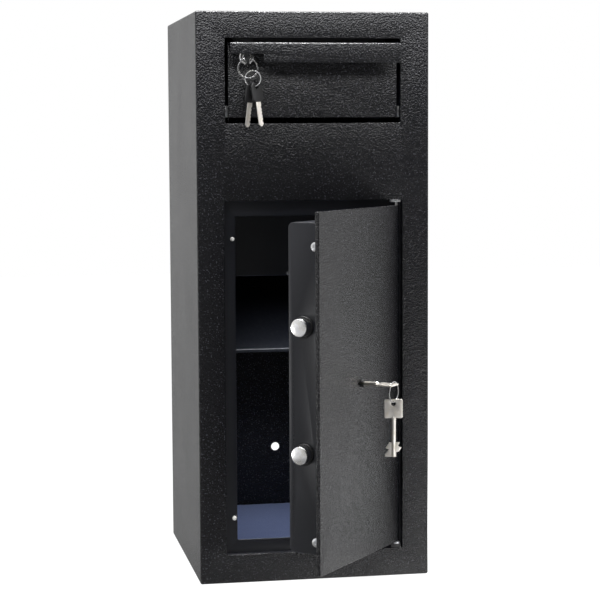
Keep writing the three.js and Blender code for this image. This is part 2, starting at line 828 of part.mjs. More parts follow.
function channel(xOuter, depth, height, sheet, span) {
  const solid = block([xOuter - depth, xOuter], span,
    [slideCentre - height / 2, slideCentre + height / 2]);
  return solid.subtract(block([xOuter - depth - cutOverrun, xOuter - sheet],
    [span[0] - cutOverrun, span[1] + cutOverrun],
    [slideCentre - height / 2 + sheet, slideCentre + height / 2 - sheet]));
}

function slideRail() {
  return channel(slideOuter, slideDepth, slideHeight, slideSheet, [slideY, slideY + slideLength]);
}

// The middle member's stop stands forward of its channel, beside the drawer front.
function slideMid() {
  const outer = slideOuter - slideMidInset;
  const stop = block([outer - slideStopDepth, outer], [slideY - slideStopLength, slideY + slideSheet],
    [slideCentre - slideMidHeight / 2, slideCentre + slideMidHeight / 2]);
  return channel(outer, slideMidDepth, slideMidHeight, slideSheet, [slideY, slideY + slideMidLength])
    .add(stop);
}

function slideRunner() {
  const inner = trayHalf;
  const runnerFront = slideY + slideSheet + seatGap;
  return block([inner, inner + slideRunnerDepth], [runnerFront, slideY + slideMidLength],
    [slideCentre - slideRunnerHeight / 2, slideCentre + slideRunnerHeight / 2]);
}

// Bay cheeks, stripper flap and chute

const flapRodY = front + flapRodSetback;
const flapRodZ = cabinetHeight - wallSheet - flapRodDrop;

function bayCheek() {
  return block([cheekInner, cheekInner + bayCheekSheet], [frontInner, frontInner + bayCheekLength],
    [drawerOpeningBottom + bayCheekRise, cabinetHeight - wallSheet]);
}

function flapRod() {
  return bar("x", flapRodDiameter / 2, [-cheekInner + seatGap, cheekInner - seatGap],
    [flapRodY, flapRodZ], smallSides);
}

function stripperFlap() {
  const half = trayHalf - drawerSheet - flapSideGap;
  const inner = flapRodDiameter / 2 + flapKnuckleGap;
  const outer = inner + flapKnuckleWall;
  const knuckle = bar("x", outer, [-half, half], [flapRodY, flapRodZ]);
  const leaf = block([-half, half], [flapRodY - flapSheet / 2, flapRodY + flapSheet / 2],
    [trayFloor + flapFloorGap, flapRodZ]);
  return knuckle.add(leaf).subtract(bar("x", inner, [-half - cutOverrun, half + cutOverrun],
    [flapRodY, flapRodZ], smallSides));
}

function bafflePlate() {
  const y = front + baffleSetback;
  const top = drawerOpeningBottom - baffleTopDrop;
  const low = drawerOpeningBottom - baffleDrop;
  const outline = bentSheet([
    [frontInner, top],
    [frontInner, top - baffleFlange],
    [y, top - baffleFlange - baffleSlopeDrop],
    [y, low],
    [y + baffleReturn, low]], chuteSheet);
  return extrudeX(outline, [-innerHalf + chuteSideGap, innerHalf - chuteSideGap]);
}

function deflectorPlate() {
  const y = front + deflectorFront;
  const low = drawerOpeningBottom - deflectorFrontDrop;
  const high = drawerOpeningBottom - deflectorBackDrop;
  const outline = bentSheet([
    [y, low - deflectorHem],
    [y, low],
    [backInner - chuteSheet, high],
    [backInner - chuteSheet, high + deflectorBackFlange]].reverse(), chuteSheet);
  return extrudeX(outline, [-innerHalf + chuteSideGap, innerHalf - chuteSideGap]);
}

function baffleScrew() {
  const radius = baffleScrewDiameter / 2;
  const base = front + baffleSetback;
  const z = drawerOpeningBottom - baffleDrop + baffleScrewRise;
  return turned("y", [[0, base], [radius, base], [radius * baffleScrewTopShare, base - baffleScrewHead],
    [0, base - baffleScrewHead]], [-baffleScrewFromMiddle, z], smallSides);
}

// Cam lock of the drawer, and the keeper that its cam turns behind

const camFront = drawerFace - camFlangeProjection;
const camRear = drawerPanelBack + camBodyRear;
const camLeverFront = camRear + seatGap;
const camPlugFront = camFront - camPlugProud;

function camLockBody() {
  const flange = camFlangeDiameter / 2;
  const body = camBodyDiameter / 2;
  const outline = [[0, camFront], [flange - camFlangeEdge, camFront], [flange, camFront + camFlangeEdge],
    [flange, drawerFace], [body, drawerFace], [body, camRear], [0, camRear]];
  return turned("y", outline, [camX, camZ])
    .subtract(bar("y", camPlugDiameter / 2 + camPlugClearance,
      [camFront - cutOverrun, camRear + cutOverrun], [camX, camZ]));
}

function camLockNut() {
  const span = [drawerPanelBack, drawerPanelBack + camNutThickness];
  return bar("y", camNutAcross / 2, span, [camX, camZ], 6)
    .subtract(bar("y", camBodyDiameter / 2 + camBodyClearance,
      [span[0] - cutOverrun, span[1] + cutOverrun], [camX, camZ]));
}

function camPlug() {
  const rear = camLeverFront + camLeverThickness + camPlugTail;
  const bladeHalf = flatKeyBladeThickness / 2 + seatGap;
  const bladeHigh = flatKeyBladeWidth / 2 + seatGap;
  const slot = block([camX - bladeHalf, camX + bladeHalf],
    [camPlugFront - cutOverrun, camPlugFront + insertedBladeLength + seatGap],
    [camZ - bladeHigh, camZ + bladeHigh]);
  return bar("y", camPlugDiameter / 2, [camPlugFront, rear], [camX, camZ]).subtract(slot);
}

function camLever() {
  const half = camLeverWidth / 2;
  const shape = roundedRectangle([camX - camLeverLength, camZ - half], [camX + half, camZ + half],
    half - seatGap);
  const span = [camLeverFront, camLeverFront + camLeverThickness];
  return extrudeY(shape, span).subtract(bar("y", camPlugDiameter / 2 + camPlugClearance,
    [span[0] - cutOverrun, span[1] + cutOverrun], [camX, camZ]));
}

function camKeeper() {
  const ceiling = cabinetHeight - wallSheet;
  const x = [camX - keeperWidth / 2, camX + keeperWidth / 2];
  const rear = camLeverFront - keeperGap;
  const face = rear - keeperSheet;
  const catchPlate = block(x, [face, rear], [ceiling - keeperBelowTop, ceiling]);
  const flange = block(x, [face, rear + keeperFlange], [ceiling - keeperSheet, ceiling]);
  return catchPlate.add(flange);
}

// Flat keys: drawn hanging, hole at the origin, faces towards x, head and blade as separate solids

function flatHead(width, length, pocketDepth) {
  const top = flatKeyHoleFromTop;
  const half = flatKeyHeadThickness / 2;
  const head = extrudeX(roundedRectangle([-width / 2, top - length], [width / 2, top],
    flatKeyHeadCorner), [-half, half]);
  const pocketHalf = flatKeyBladeThickness / 2 + seatGap;
  const pocketWide = flatKeyBladeWidth / 2 + seatGap;
  const pocket = block([-pocketHalf, pocketHalf], [-pocketWide, pocketWide],
    [top - length - cutOverrun, top - length + pocketDepth + seatGap]);
  const hole = bar("x", flatKeyHoleDiameter / 2, [-flatKeyHeadThickness, flatKeyHeadThickness],
    [0, 0], smallSides);
  return head.subtract(pocket).subtract(hole);
}

function flatBlade(headLength, tang, length) {
  const headBottom = flatKeyHoleFromTop - headLength;
  const half = flatKeyBladeWidth / 2;
  const low = headBottom - length;
  const shape = new THREE.Shape();
  shape.moveTo(-half, headBottom + tang);
  shape.lineTo(-half, low + flatKeyTip);
  shape.lineTo(-half + flatKeyTip, low);
  shape.lineTo(half - flatKeyTip, low);
  shape.lineTo(half, low + flatKeyTip);
  const pitch = (length - 2 * flatKeyTip) / (flatKeyToothCount + 1);
  for (let tooth = 0; tooth < flatKeyToothCount; tooth += 1) {
    const z = low + flatKeyTip + pitch * (tooth + toothStartShare);
    const depth = flatKeyTooth * toothDepthShares[tooth % toothDepthShares.length];
    shape.lineTo(half, z);
    shape.lineTo(half - depth, z + pitch / 2);
    shape.lineTo(half, z + pitch);
  }
  shape.lineTo(half, headBottom + tang);
  shape.closePath();
  return extrudeX(shape, [-flatKeyBladeThickness / 2, flatKeyBladeThickness / 2]);
}

// Groups: everything that turns or moves together is placed by one group

function mirrored(solid) {
  return solid.mirror([1, 0, 0]);
}

function cabinetGroup() {
  const group = new THREE.Group();
  group.add(piece("front_plate", frontPlate(), "coat"));
  group.add(piece("side_left", mirrored(sidePanel()), "coat"));
  group.add(piece("side_right", sidePanel(), "coat"));
  group.add(piece("top_panel", topPanel(), "coat"));
  group.add(piece("bottom_panel", bottomPanel(), "coat"));
  group.add(piece("back_panel", backPlate(), "coat"));
  group.add(piece("door_rebate", doorRebate(), "smoothCoat"));
  group.add(piece("vault_floor", innerFloor(), "smoothCoat"));
  group.add(piece("felt_mat", feltMat(), "felt"));
  group.add(piece("baffle_plate", bafflePlate(), "smoothCoat"));
  group.add(piece("deflector_plate", deflectorPlate(), "smoothCoat"));
  group.add(piece("baffle_screw", baffleScrew(), "zinc"));
  group.add(piece("bay_cheek_left", mirrored(bayCheek()), "smoothCoat"));
  group.add(piece("bay_cheek_right", bayCheek(), "smoothCoat"));
  group.add(piece("slide_rail_left", mirrored(slideRail()), "zinc"));
  group.add(piece("slide_rail_right", slideRail(), "zinc"));
  group.add(piece("flap_rod", flapRod(), "steel"));
  group.add(piece("stripper_flap", stripperFlap(), "smoothCoat"));
  group.add(piece("lock_keeper", camKeeper(), "smoothCoat"));
  group.add(piece("bolt_strike", boltStrike(), "smoothCoat"));
  group.add(piece("hinge_block_bottom", hingeBlockBottom(), "blackPlastic"));
  group.add(piece("hinge_washer_bottom", hingeWasher(), "zinc"));
  group.add(piece("hinge_plate_top", hingePlateTop(), "zinc"));
  group.add(piece("door_buffer_upper", doorBuffer(doorTop - bufferFromTop), "rubber"));
  group.add(piece("door_buffer_lower", doorBuffer(doorBottom + bufferFromBottom), "rubber"));
  return group;
}

function drawerGroup() {
  const group = new THREE.Group();
  group.add(piece("drawer_front", drawerFront(), "coat"));
  group.add(piece("drawer_pull", drawerPull(), "coat"));
  group.add(piece("drawer_tray", drawerTray(), "smoothCoat"));
  group.add(piece("drawer_runner_left", mirrored(slideRunner()), "zinc"));
  group.add(piece("drawer_runner_right", slideRunner(), "zinc"));
  group.add(piece("slide_member_left", mirrored(slideMid()), "zinc"));
  group.add(piece("slide_member_right", slideMid(), "zinc"));
  group.add(piece("cam_lock_body", camLockBody(), "chrome"));
  group.add(piece("cam_lock_nut", camLockNut(), "zinc"));
  group.add(piece("cam_lock_plug", camPlug(), "chrome"));
  group.add(piece("lock_cam", camLever(), "zinc"));
  group.add(drawerKeys());
  return group;
}

// The key in the drawer lock lies with its hole on the lock's axis; the rings hang from that hole.
function drawerKeys() {
  const group = new THREE.Group();
  const headFront = camPlugFront - insertedHeadGap - insertedHeadLength;
  const ringY = headFront + flatKeyHoleFromTop;

  const inserted = new THREE.Group();
  inserted.position.set(camX, ringY, camZ);
  inserted.rotation.x = Math.PI / 2;
  inserted.add(piece("drawer_key_head", flatHead(insertedHeadWidth, insertedHeadLength, insertedTang),
    "blackPlastic"));
  inserted.add(piece("drawer_key_blade",
    flatBlade(insertedHeadLength, insertedTang, insertedBladeLength), "nickel"));
  group.add(inserted);

  const largeTop = camZ - flatKeyHoleDiameter / 2 + largeRingWire / 2 + seatGap;
  const large = piece("key_ring_large", ring(largeRingRadius, largeRingWire), "chrome");
  large.position.set(camX, ringY, largeTop - largeRingRadius);
  large.rotation.x = Math.PI / 2;
  group.add(large);

  const link = new THREE.Vector3(smallRingSide, 0, -smallRingDrop);
  const small = piece("key_ring_small", ring(smallRingRadius, smallRingWire), "chrome");
  small.position.copy(large.position).add(link);
  small.quaternion.setFromAxisAngle(link.clone().normalize(), smallRingTilt)
    .multiply(new THREE.Quaternion().setFromAxisAngle(new THREE.Vector3(1, 0, 0), Math.PI / 2));
  group.add(small);

  const places = [
    { name: "hanging_key_left", side: leftKeySide, hang: leftKeyHang,
      lie: [leftKeyRoll, leftKeyLean, leftKeyTurn] },
    { name: "hanging_key_right", side: rightKeySide, hang: rightKeyHang,
      lie: [rightKeyRoll, rightKeyLean, rightKeyTurn] },
  ];
  for (const { name, side, hang, lie } of places) {
    const wire = lowestWire(small, side);
    const key = new THREE.Group();
    key.position.set(wire.x, wire.y, wire.z - hang);
    key.rotation.set(...lie, "ZYX");
    key.add(piece(`${name}_head`, flatHead(flatKeyHeadWidth, flatKeyHeadLength, flatKeyTang),
      "blackPlastic"));
    key.add(piece(`${name}_blade`, flatBlade(flatKeyHeadLength, flatKeyTang, flatKeyBladeLength),
      "nickel"));
    group.add(key);
  }
  return group;
}

// The point of the small ring's lower half that stands "side" off its middle.
function lowestWire(loop, side) {
  const fall = -Math.sqrt(smallRingRadius ** 2 - side ** 2);
  return new THREE.Vector3(side, fall, 0).applyQuaternion(loop.quaternion).add(loop.position);
}

function doorGroup() {
  const swing = new THREE.Group();
  swing.position.set(pivotX, pivotY, 0);
  swing.rotation.z = doorOpenAngle;
  const door = new THREE.Group();
  door.position.set(-pivotX, -pivotY, 0);
  swing.add(door);
  door.add(piece("door_plate", doorPlate(), "coat"));
  door.add(piece("hinge_pin_top", hingePin(false), "steel"));
  door.add(piece("hinge_pin_bottom", hingePin(true), "steel"));
  door.add(piece("lock_case", lockCase(), "smoothCoat"));
  door.add(piece("lever_lock", leverLock(), "zinc"));
  door.add(piece("case_screw_upper", caseScrew(caseTop - 2 * caseScrewEndMargin), "zinc"));
  door.add(piece("case_screw_lower", caseScrew(caseBottom + caseScrewEndMargin), "zinc"));
  door.add(piece("bolt_bush_upper", boltBush(boltHeights[0]), "blackPlastic"));
  door.add(piece("bolt_bush_lower", boltBush(boltHeights[1]), "blackPlastic"));
  door.add(piece("bolt_upper", lockingBolt(boltHeights[0]), "chrome"));
  door.add(piece("bolt_lower", lockingBolt(boltHeights[1]), "chrome"));
  door.add(piece("bolt_bar", boltBar(), "zinc"));
  door.add(piece("lock_barrel", lockBarrel(), "blackPlastic"));
  door.add(vaultKeys());
  return swing;
}

// Where a ring comes to rest in a flat bow: it bears on the near top edge of the hole
// and on the hole's far bottom edge. "x" runs towards the hinged edge, "z" up.
function ringRest() {
  const half = keyBowThickness / 2;
  const rim = keyHoleDiameter / 2;
  const near = new THREE.Vector2(rim, half);
  const far = new THREE.Vector2(-rim, -half);
  const inside = keyRingRadius - keyRingWire / 2 - seatGap;
  const outside = keyRingRadius + keyRingWire / 2 + seatGap;
  const apart = near.distanceTo(far);
  const along = (outside ** 2 - inside ** 2 + apart ** 2) / (2 * apart);
  const away = Math.sqrt(outside ** 2 - along ** 2);
  const run = near.clone().sub(far).divideScalar(apart);
  return far.addScaledVector(run, along).addScaledVector(new THREE.Vector2(run.y, -run.x), away);
}

function vaultKeys() {
  const group = new THREE.Group();
  group.position.set(lockX, front, lockZ);
  const holeOut = keyShankOut + keyBowLength - keyHoleFromEnd;
  const key = piece("door_key", vaultKey(), "nickel");
  key.position.y = -holeOut;
  key.rotation.x = Math.PI / 2;
  group.add(key);
  const rest = ringRest();
  const loop = piece("door_key_ring", ring(keyRingRadius, keyRingWire), "steel");
  loop.position.set(rest.x, -holeOut, rest.y);
  loop.rotation.x = Math.PI / 2;
  group.add(loop);
  const spare = piece("spare_door_key", vaultKey(), "nickel");
  const hang = keyHoleDiameter / 2 - keyRingWire / 2 - seatGap;
  spare.position.set(rest.x, -holeOut, rest.y - keyRingRadius - hang);
  spare.rotation.z = -spareKeyTurn;
  group.add(spare);
  return group;
}

const safe = new THREE.Group();
safe.add(cabinetGroup());
safe.add(drawerGroup());
safe.add(doorGroup());

export default safe;
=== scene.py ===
"""Drop safe with a deposit drawer over a key-locked vault door that stands part open.

Metres, +Z up, the front faces -Y, and the origin is the middle of the footprint on the floor.
"""
import json
import math

import bmesh
import bpy
from mathutils import Euler, Matrix, Vector


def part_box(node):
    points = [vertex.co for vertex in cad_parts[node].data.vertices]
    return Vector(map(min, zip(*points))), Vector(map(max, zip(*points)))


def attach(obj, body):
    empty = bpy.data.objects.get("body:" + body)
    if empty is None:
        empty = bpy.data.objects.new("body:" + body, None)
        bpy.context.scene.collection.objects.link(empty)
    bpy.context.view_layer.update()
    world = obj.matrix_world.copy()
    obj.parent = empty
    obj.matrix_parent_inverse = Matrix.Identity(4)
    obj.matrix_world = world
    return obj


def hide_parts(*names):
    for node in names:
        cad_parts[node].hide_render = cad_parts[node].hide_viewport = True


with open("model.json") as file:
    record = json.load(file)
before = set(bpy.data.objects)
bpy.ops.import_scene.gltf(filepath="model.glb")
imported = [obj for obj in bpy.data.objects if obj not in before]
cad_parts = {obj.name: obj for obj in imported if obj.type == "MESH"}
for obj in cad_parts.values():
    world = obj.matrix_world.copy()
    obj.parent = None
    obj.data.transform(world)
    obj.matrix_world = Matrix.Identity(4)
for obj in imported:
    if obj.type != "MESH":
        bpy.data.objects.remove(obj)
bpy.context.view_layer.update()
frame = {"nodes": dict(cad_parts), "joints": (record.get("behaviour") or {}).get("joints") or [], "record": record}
joints = {joint["name"]: joint for joint in frame["joints"]}
body_of = {
    node: body
    for body, nodes in frame["record"]["behaviour"]["bodies"].items()
    for node in nodes
}
slot_of = {row["node"]: row["material_slot"] for row in frame["record"]["subparts"]}

MM = 0.001
ACROSS, DEEP, UP = Vector((1, 0, 0)), Vector((0, 1, 0)), Vector((0, 0, 1))

# Camera, solved from the cabinet's edges in the photograph
FRAME_PIXELS = 600
FOCAL_PIXELS = 1834.6
SENSOR_WIDTH = 36
CAMERA_PLACE = Vector((-0.51567, -2.85648, 0.66730))
CAMERA_YAW = math.radians(10.451)
CAMERA_PITCH = math.radians(5.103)
CAMERA_ROLL = math.radians(0.289)

# Sheet metal
WELD = 0.01 * MM
WALL_SHEET = 2 * MM
CORNER_RADIUS = 3 * MM
FRONT_EDGE_RADIUS = 2.4 * MM
BACK_EDGE_RADIUS = 1.4 * MM
OPENING_EDGE_RADIUS = 1 * MM
OPENING_CORNER_RADIUS = 2.5 * MM
ANCHOR_HOLE_RADIUS = 7 * MM
ANCHOR_HOLE_HEIGHT = 143.5 * MM
ANCHOR_RIM_REACH = 0.2
SHEET_ARRIS = 0.45 * MM
BEND_RADIUS = 2.2 * MM
LIP_BEND_RADIUS = 1.8 * MM
CASE_ARRIS = 0.9 * MM
BAFFLE_FLANGE = 26 * MM
BAFFLE_SLOPE_DROP = 46 * MM
BAFFLE_FOOT = 7 * MM
DEFLECTOR_HEM = 4 * MM
DEFLECTOR_FLANGE = 16 * MM
REBATE_LIP_EDGE = 0.9 * MM

# Felt mat, the waves of its ripple in radians a metre
FELT_SQUARES = 48
FELT_THICKNESS = 2.2 * MM
FELT_SINK = 0.4 * MM
FELT_EDGE = 0.6 * MM
FELT_RIPPLE = 0.12 * MM
RIPPLE_ACROSS, RIPPLE_DEEP, RIPPLE_SKEW = 46, 38, 17

# Door
DOOR_EDGE_RADIUS = 1.2 * MM
DOOR_CORNER_RADIUS = 2 * MM
KEYWAY_WIDTH = 28 * MM
KEYWAY_HEIGHT = 4.6 * MM
BARREL_HOLE_RADIUS = 6.3 * MM
BOLT_CHAMFER = 1.2 * MM
BUSH_CLEARANCE = 0.35 * MM
BUSH_CHAMFER = 0.6 * MM

# Vault keys
BOW_CORNER = 2.2 * MM
KEY_HOLE_RADIUS = 3.5 * MM
KEY_HOLE_FROM_END = 6.5 * MM
BOW_SIZE = (26.5 * MM, 27.5 * MM)
BOW_THICKNESS = 2.2 * MM
BOW_EDGE = 0.45 * MM
STEM_RADIUS = 3.2 * MM
STEM_LENGTH = 56.5 * MM
COLLAR_SHARE = 1.1
BIT_HALF_SPAN = 12.5 * MM
BIT_LENGTH = 21 * MM
BIT_THICKNESS = 2.6 * MM
BIT_EDGE = 0.2 * MM
# Outline of the bits: shares of the half span across, and of the length from their top down
BIT_SHARES = (
    (-0.53, 0), (-0.53, 0.04), (-0.9, 0.38), (-0.9, 0.41), (-0.53, 0.49), (-0.78, 0.69), (-1, 0.83),
    (-1, 1), (0.29, 1), (0.29, 0.7), (0.6, 0.63), (0.94, 0.36), (0.65, 0.31), (0.52, 0.22), (0.73, 0),
)
SPARE_KEY_TURN = math.radians(61.2)

# Flat keys of the drawer
FLAT_HOLE_RADIUS = 3.8 * MM
FLAT_HOLE_FROM_TOP = 5.4 * MM
FLAT_HEAD_CORNER = 6 * MM
FLAT_HEAD_THICKNESS = 3.2 * MM
FLAT_HEAD_EDGE = 0.9 * MM
HANGING_HEAD_SIZE = (20 * MM, 28 * MM)
INSERTED_HEAD_SIZE = (23 * MM, 15.5 * MM)
BLADE_WIDTH = 8 * MM
BLADE_LENGTH = 36 * MM
INSERTED_BLADE_LENGTH = 14 * MM
HANGING_TANG = 10 * MM
INSERTED_TANG = 3 * MM
BLADE_THICKNESS = 1.8 * MM
BLADE_TIP = 3 * MM
BLADE_EDGE = 0.12 * MM
BLADE_GROOVE = (2 * MM, 0.55 * MM)
TOOTH_DEPTH = 1.4 * MM
TOOTH_COUNT = 5
TOOTH_SHARES = (1, 0.45, 0.8, 0.6, 0.9)
LEFT_KEY_HANG = 1.3 * MM
RIGHT_KEY_HANG = 1.1 * MM
LEFT_KEY_LIE = [math.radians(angle) for angle in (-3, 7, -59)]
RIGHT_KEY_LIE = [math.radians(angle) for angle in (2, -8.5, -59)]
SMALL_RING_LINK = Vector((7.2, 0, -14.8))
SMALL_RING_TILT = math.radians(16)

# Key rings: a coil's section and pitch are shares of its wire, and its length is a share of two turns
DOOR_RING_WIRE = 1.5 * MM
LARGE_RING_WIRE = 2.2 * MM
SMALL_RING_WIRE = 1.8 * MM
COIL_HALF_SECTION = (0.42, 0.2)
COIL_CORNER = 0.14
COIL_PITCH = 0.48
COIL_SHARE = 0.985

# Cam lock
LOCK_PLUG_RADIUS = 6 * MM
LOCK_PLUG_CHAMFER = 0.6 * MM
LOCK_BORE_RADIUS = 6.3 * MM
LOCK_NECK_RADIUS = 9.5 * MM
LOCK_SLOT = (2.4 * MM, 8.6 * MM)
LOCK_SLOT_CORNER = 0.4 * MM
LOCK_SLOT_REACH = 15.6 * MM

# Smoothness
ROUND_STEPS = 64
SMALL_STEPS = 32
RING_STEPS = 56
CORNER_STEPS = 6
SMOOTH_ANGLE = math.radians(38)
KEY_SMOOTH_ANGLE = math.radians(30)
CREASE_ANGLE = math.radians(50)
FLAT_ANGLE = math.radians(0.5)
QUARTER_TURN = math.radians(90)


# Camera first: everything is judged in its view

def photograph_camera():
    forward = Vector((
        math.sin(CAMERA_YAW) * math.cos(CAMERA_PITCH),
        math.cos(CAMERA_YAW) * math.cos(CAMERA_PITCH),
        -math.sin(CAMERA_PITCH),
    ))
    level = Vector((math.cos(CAMERA_YAW), -math.sin(CAMERA_YAW), 0))
    down = forward.cross(level)
    right = level * math.cos(CAMERA_ROLL) + down * math.sin(CAMERA_ROLL)
    below = down * math.cos(CAMERA_ROLL) - level * math.sin(CAMERA_ROLL)
    data = bpy.data.cameras.new("photograph")
    data.sensor_fit = "HORIZONTAL"
    data.sensor_width = SENSOR_WIDTH
    data.lens = FOCAL_PIXELS / FRAME_PIXELS * SENSOR_WIDTH
    camera = bpy.data.objects.new("photograph", data)
    turn = Matrix((right, -below, -forward)).transposed().to_4x4()
    camera.matrix_world = Matrix.Translation(CAMERA_PLACE) @ turn
    bpy.context.scene.collection.objects.link(camera)
    bpy.context.scene.camera = camera


photograph_camera()


# Shader building blocks

def place_node(tree, kind, inputs=None, **settings):
    """Adds a node, sets its settings, and sets or links its inputs."""
    node = tree.nodes.new(kind)
    for name, value in settings.items():
        setattr(node, name, value)
    for socket, value in (inputs or {}).items():
        if isinstance(value, bpy.types.NodeSocket):
            tree.links.new(value, node.inputs[socket])
        else:
            node.inputs[socket].default_value = value
    return node


def new_group(name, inputs, outputs):
    group = bpy.data.node_groups.new(name, "ShaderNodeTree")
    for labels, direction in ((inputs, "INPUT"), (outputs, "OUTPUT")):
        for label in labels:
            group.interface.new_socket(label, in_out=direction, socket_type="NodeSocketFloat")
    return group, group.nodes.new("NodeGroupInput").outputs, group.nodes.new("NodeGroupOutput")


def math_node(tree, operation, first, second=0.0, clamp=False):
    node = place_node(tree, "ShaderNodeMath", {0: first, 1: second}, operation=operation, use_clamp=clamp)
    return node.outputs[0]


def ramp_node(tree, value, low, high, to_low=0.0, to_high=1.0):
    node = place_node(tree, "ShaderNodeMapRange",
                      {"Value": value, "From Min": low, "From Max": high,
                       "To Min": to_low, "To Max": to_high}, interpolation_type="SMOOTHSTEP")
    return node.outputs["Result"]


def ramp_colours(tree, share, stops):
    node = place_node(tree, "ShaderNodeValToRGB", {"Fac": share})
    ramp = node.color_ramp
    for _ in stops[2:]:
        ramp.elements.new(0.5)
    for element, (place, colour) in zip(ramp.elements, stops):
        element.position = place
        element.color = (*colour, 1)
    return node.outputs["Color"]


def grey_stops(levels):
    return [(place, (level, level, level)) for place, level in levels]


def noise_node(tree, place, scale, detail, roughness=0.5, distortion=0.0):
    return place_node(tree, "ShaderNodeTexNoise", {"Vector": place, "Scale": scale, "Detail": detail,
                      "Roughness": roughness, "Distortion": distortion}).outputs["Fac"]


def object_place(tree):
    return place_node(tree, "ShaderNodeTexCoord").outputs["Object"]


def hammered_group():
    """Dimples of a textured powder coat, and lighter flecks that are painted glints. Cells is how many lie side by
    side in a metre.
    """
    group, given, out = new_group("hammered_powder", ("Cells", "Fleck Amount"), ("Height", "PaintedGlint", "Cloud"))
    place = object_place(group)
    cells = place_node(group, "ShaderNodeTexVoronoi", {"Vector": place, "Scale": given["Cells"],
                       "Smoothness": 0.6}, feature="SMOOTH_F1").outputs["Distance"]
    fine = noise_node(group, place, math_node(group, "MULTIPLY", given["Cells"], 1.7), 3.0, 0.6)
    # Painted glints: sparse spots where the coat's colour is lighter, standing in for the glints its dimples catch
    bright = ramp_node(group, noise_node(group, place, given["Cells"], 1.0), 0.62, 0.72)
    made = {
        "Height": math_node(group, "ADD", cells, math_node(group, "MULTIPLY", fine, 0.6)),
        "PaintedGlint": math_node(group, "MULTIPLY", bright, given["Fleck Amount"]),
        "Cloud": noise_node(group, place, 7.0, 4.0, 0.55),
    }
    for label, value in made.items():
        group.links.new(value, out.inputs[label])
    return group


def edge_group():
    """Where an arris lies within Width: 0 on a flat, 1 on the edge, broken up by noise."""
    group, given, out = new_group("edge_wear", ("Width", "Breakup"), ("Edge",))
    rounded = place_node(group, "ShaderNodeBevel", {"Radius": given["Width"]}, samples=6).outputs[0]
    flat = place_node(group, "ShaderNodeNewGeometry").outputs["Normal"]
    match = place_node(group, "ShaderNodeVectorMath", {0: rounded, 1: flat},
                       operation="DOT_PRODUCT").outputs["Value"]
    found = ramp_node(group, match, 0.985, 0.86)
    broken = ramp_node(group, noise_node(group, object_place(group), 90.0, 5.0, 0.65), 0.4, 0.62)
    kept = math_node(group, "SUBTRACT", 1.0, given["Breakup"])
    share = math_node(group, "ADD", kept, math_node(group, "MULTIPLY", broken, given["Breakup"]))
    group.links.new(math_node(group, "MULTIPLY", found, share, clamp=True), out.inputs["Edge"])
    return group


def dust_group():
    """Fine dust that settles on what faces up."""
    group, given, out = new_group("settled_dust", ("Amount",), ("Dust",))
    normal = place_node(group, "ShaderNodeNewGeometry").outputs["Normal"]
    upward = place_node(group, "ShaderNodeSeparateXYZ", {0: normal}).outputs["Z"]
    facing = ramp_node(group, upward, 0.5, 0.95)
    grain = ramp_node(group, noise_node(group, object_place(group), 160.0, 6.0, 0.7), 0.42, 0.75)
    covered = math_node(group, "MULTIPLY", facing, grain)
    group.links.new(math_node(group, "MULTIPLY", covered, given["Amount"]), out.inputs["Dust"])
    return group


def metal_group():
    """Fine lines and soft stains of plated or turned metal. The three scales set which way the lines run."""
    group, given, out = new_group("plated_metal", ("Across X", "Across Y", "Across Z"), ("Height", "Stain"))
    scale = place_node(group, "ShaderNodeCombineXYZ", {0: given["Across X"], 1: given["Across Y"],
                       2: given["Across Z"]}).outputs[0]
    stretched = place_node(group, "ShaderNodeVectorMath", {0: object_place(group), 1: scale},
                           operation="MULTIPLY").outputs[0]
    group.links.new(noise_node(group, stretched, 1.0, 3.0, 0.6), out.inputs["Height"])
    group.links.new(noise_node(group, object_place(group), 110.0, 4.0, 0.6), out.inputs["Stain"])
    return group


HAMMERED = hammered_group()
EDGES = edge_group()
DUST = dust_group()
METAL = metal_group()


def use_group(tree, group, **values):
    node = tree.nodes.new("ShaderNodeGroup")
    node.node_tree = group
    for label, value in values.items():
        node.inputs[label.replace("_", " ")].default_value = value
    return node.outputs


def mix_colours(tree, share, first, second):
    node = place_node(tree, "ShaderNodeMix", {"Factor": share}, data_type="RGBA")
    for socket, value in (("A", first), ("B", second)):
        target = [entry for entry in node.inputs if entry.name == socket and entry.type == "RGBA"][0]
        if isinstance(value, bpy.types.NodeSocket):
            tree.links.new(value, target)
        else:
            target.default_value = (*value, 1)
    return [entry for entry in node.outputs if entry.type == "RGBA"][0]


def bump_node(tree, height, distance):
    return place_node(tree, "ShaderNodeBump", {"Height": height, "Distance": distance,
                      "Strength": 1.0}).outputs["Normal"]


def new_material(name):
    material = bpy.data.materials.new(name)
    material.use_nodes = True
    tree = material.node_tree
    tree.nodes.clear()
    output = tree.nodes.new("ShaderNodeOutputMaterial")
    surface = tree.nodes.new("ShaderNodeBsdfPrincipled")
    tree.links.new(surface.outputs[0], output.inputs[0])
    return material, tree, surface


def feed(tree, surface, **links):
    for label, value in links.items():
        socket = surface.inputs[label.replace("_", " ")]
        if isinstance(value, bpy.types.NodeSocket):
            tree.links.new(value, socket)
        else:
            socket.default_value = value


# Finishes, one for each material slot of the record

WORN_PAINT = (0.09, 0.092, 0.1)
WORN_METAL = (0.95, 0.95, 0.94)
DUST_ON_PAINT = (0.3, 0.29, 0.27)
DUST_ON_PLASTIC = (0.35, 0.34, 0.32)
FELT_FIBRES = ((0.12, 0.15, 0.3), (0.21, 0.26, 0.46))
FELT_PATCH = (0.16, 0.2, 0.38)
FELT_LINT = (0.4, 0.45, 0.55)
FELT_SHEEN = (0.6, 0.68, 0.9)


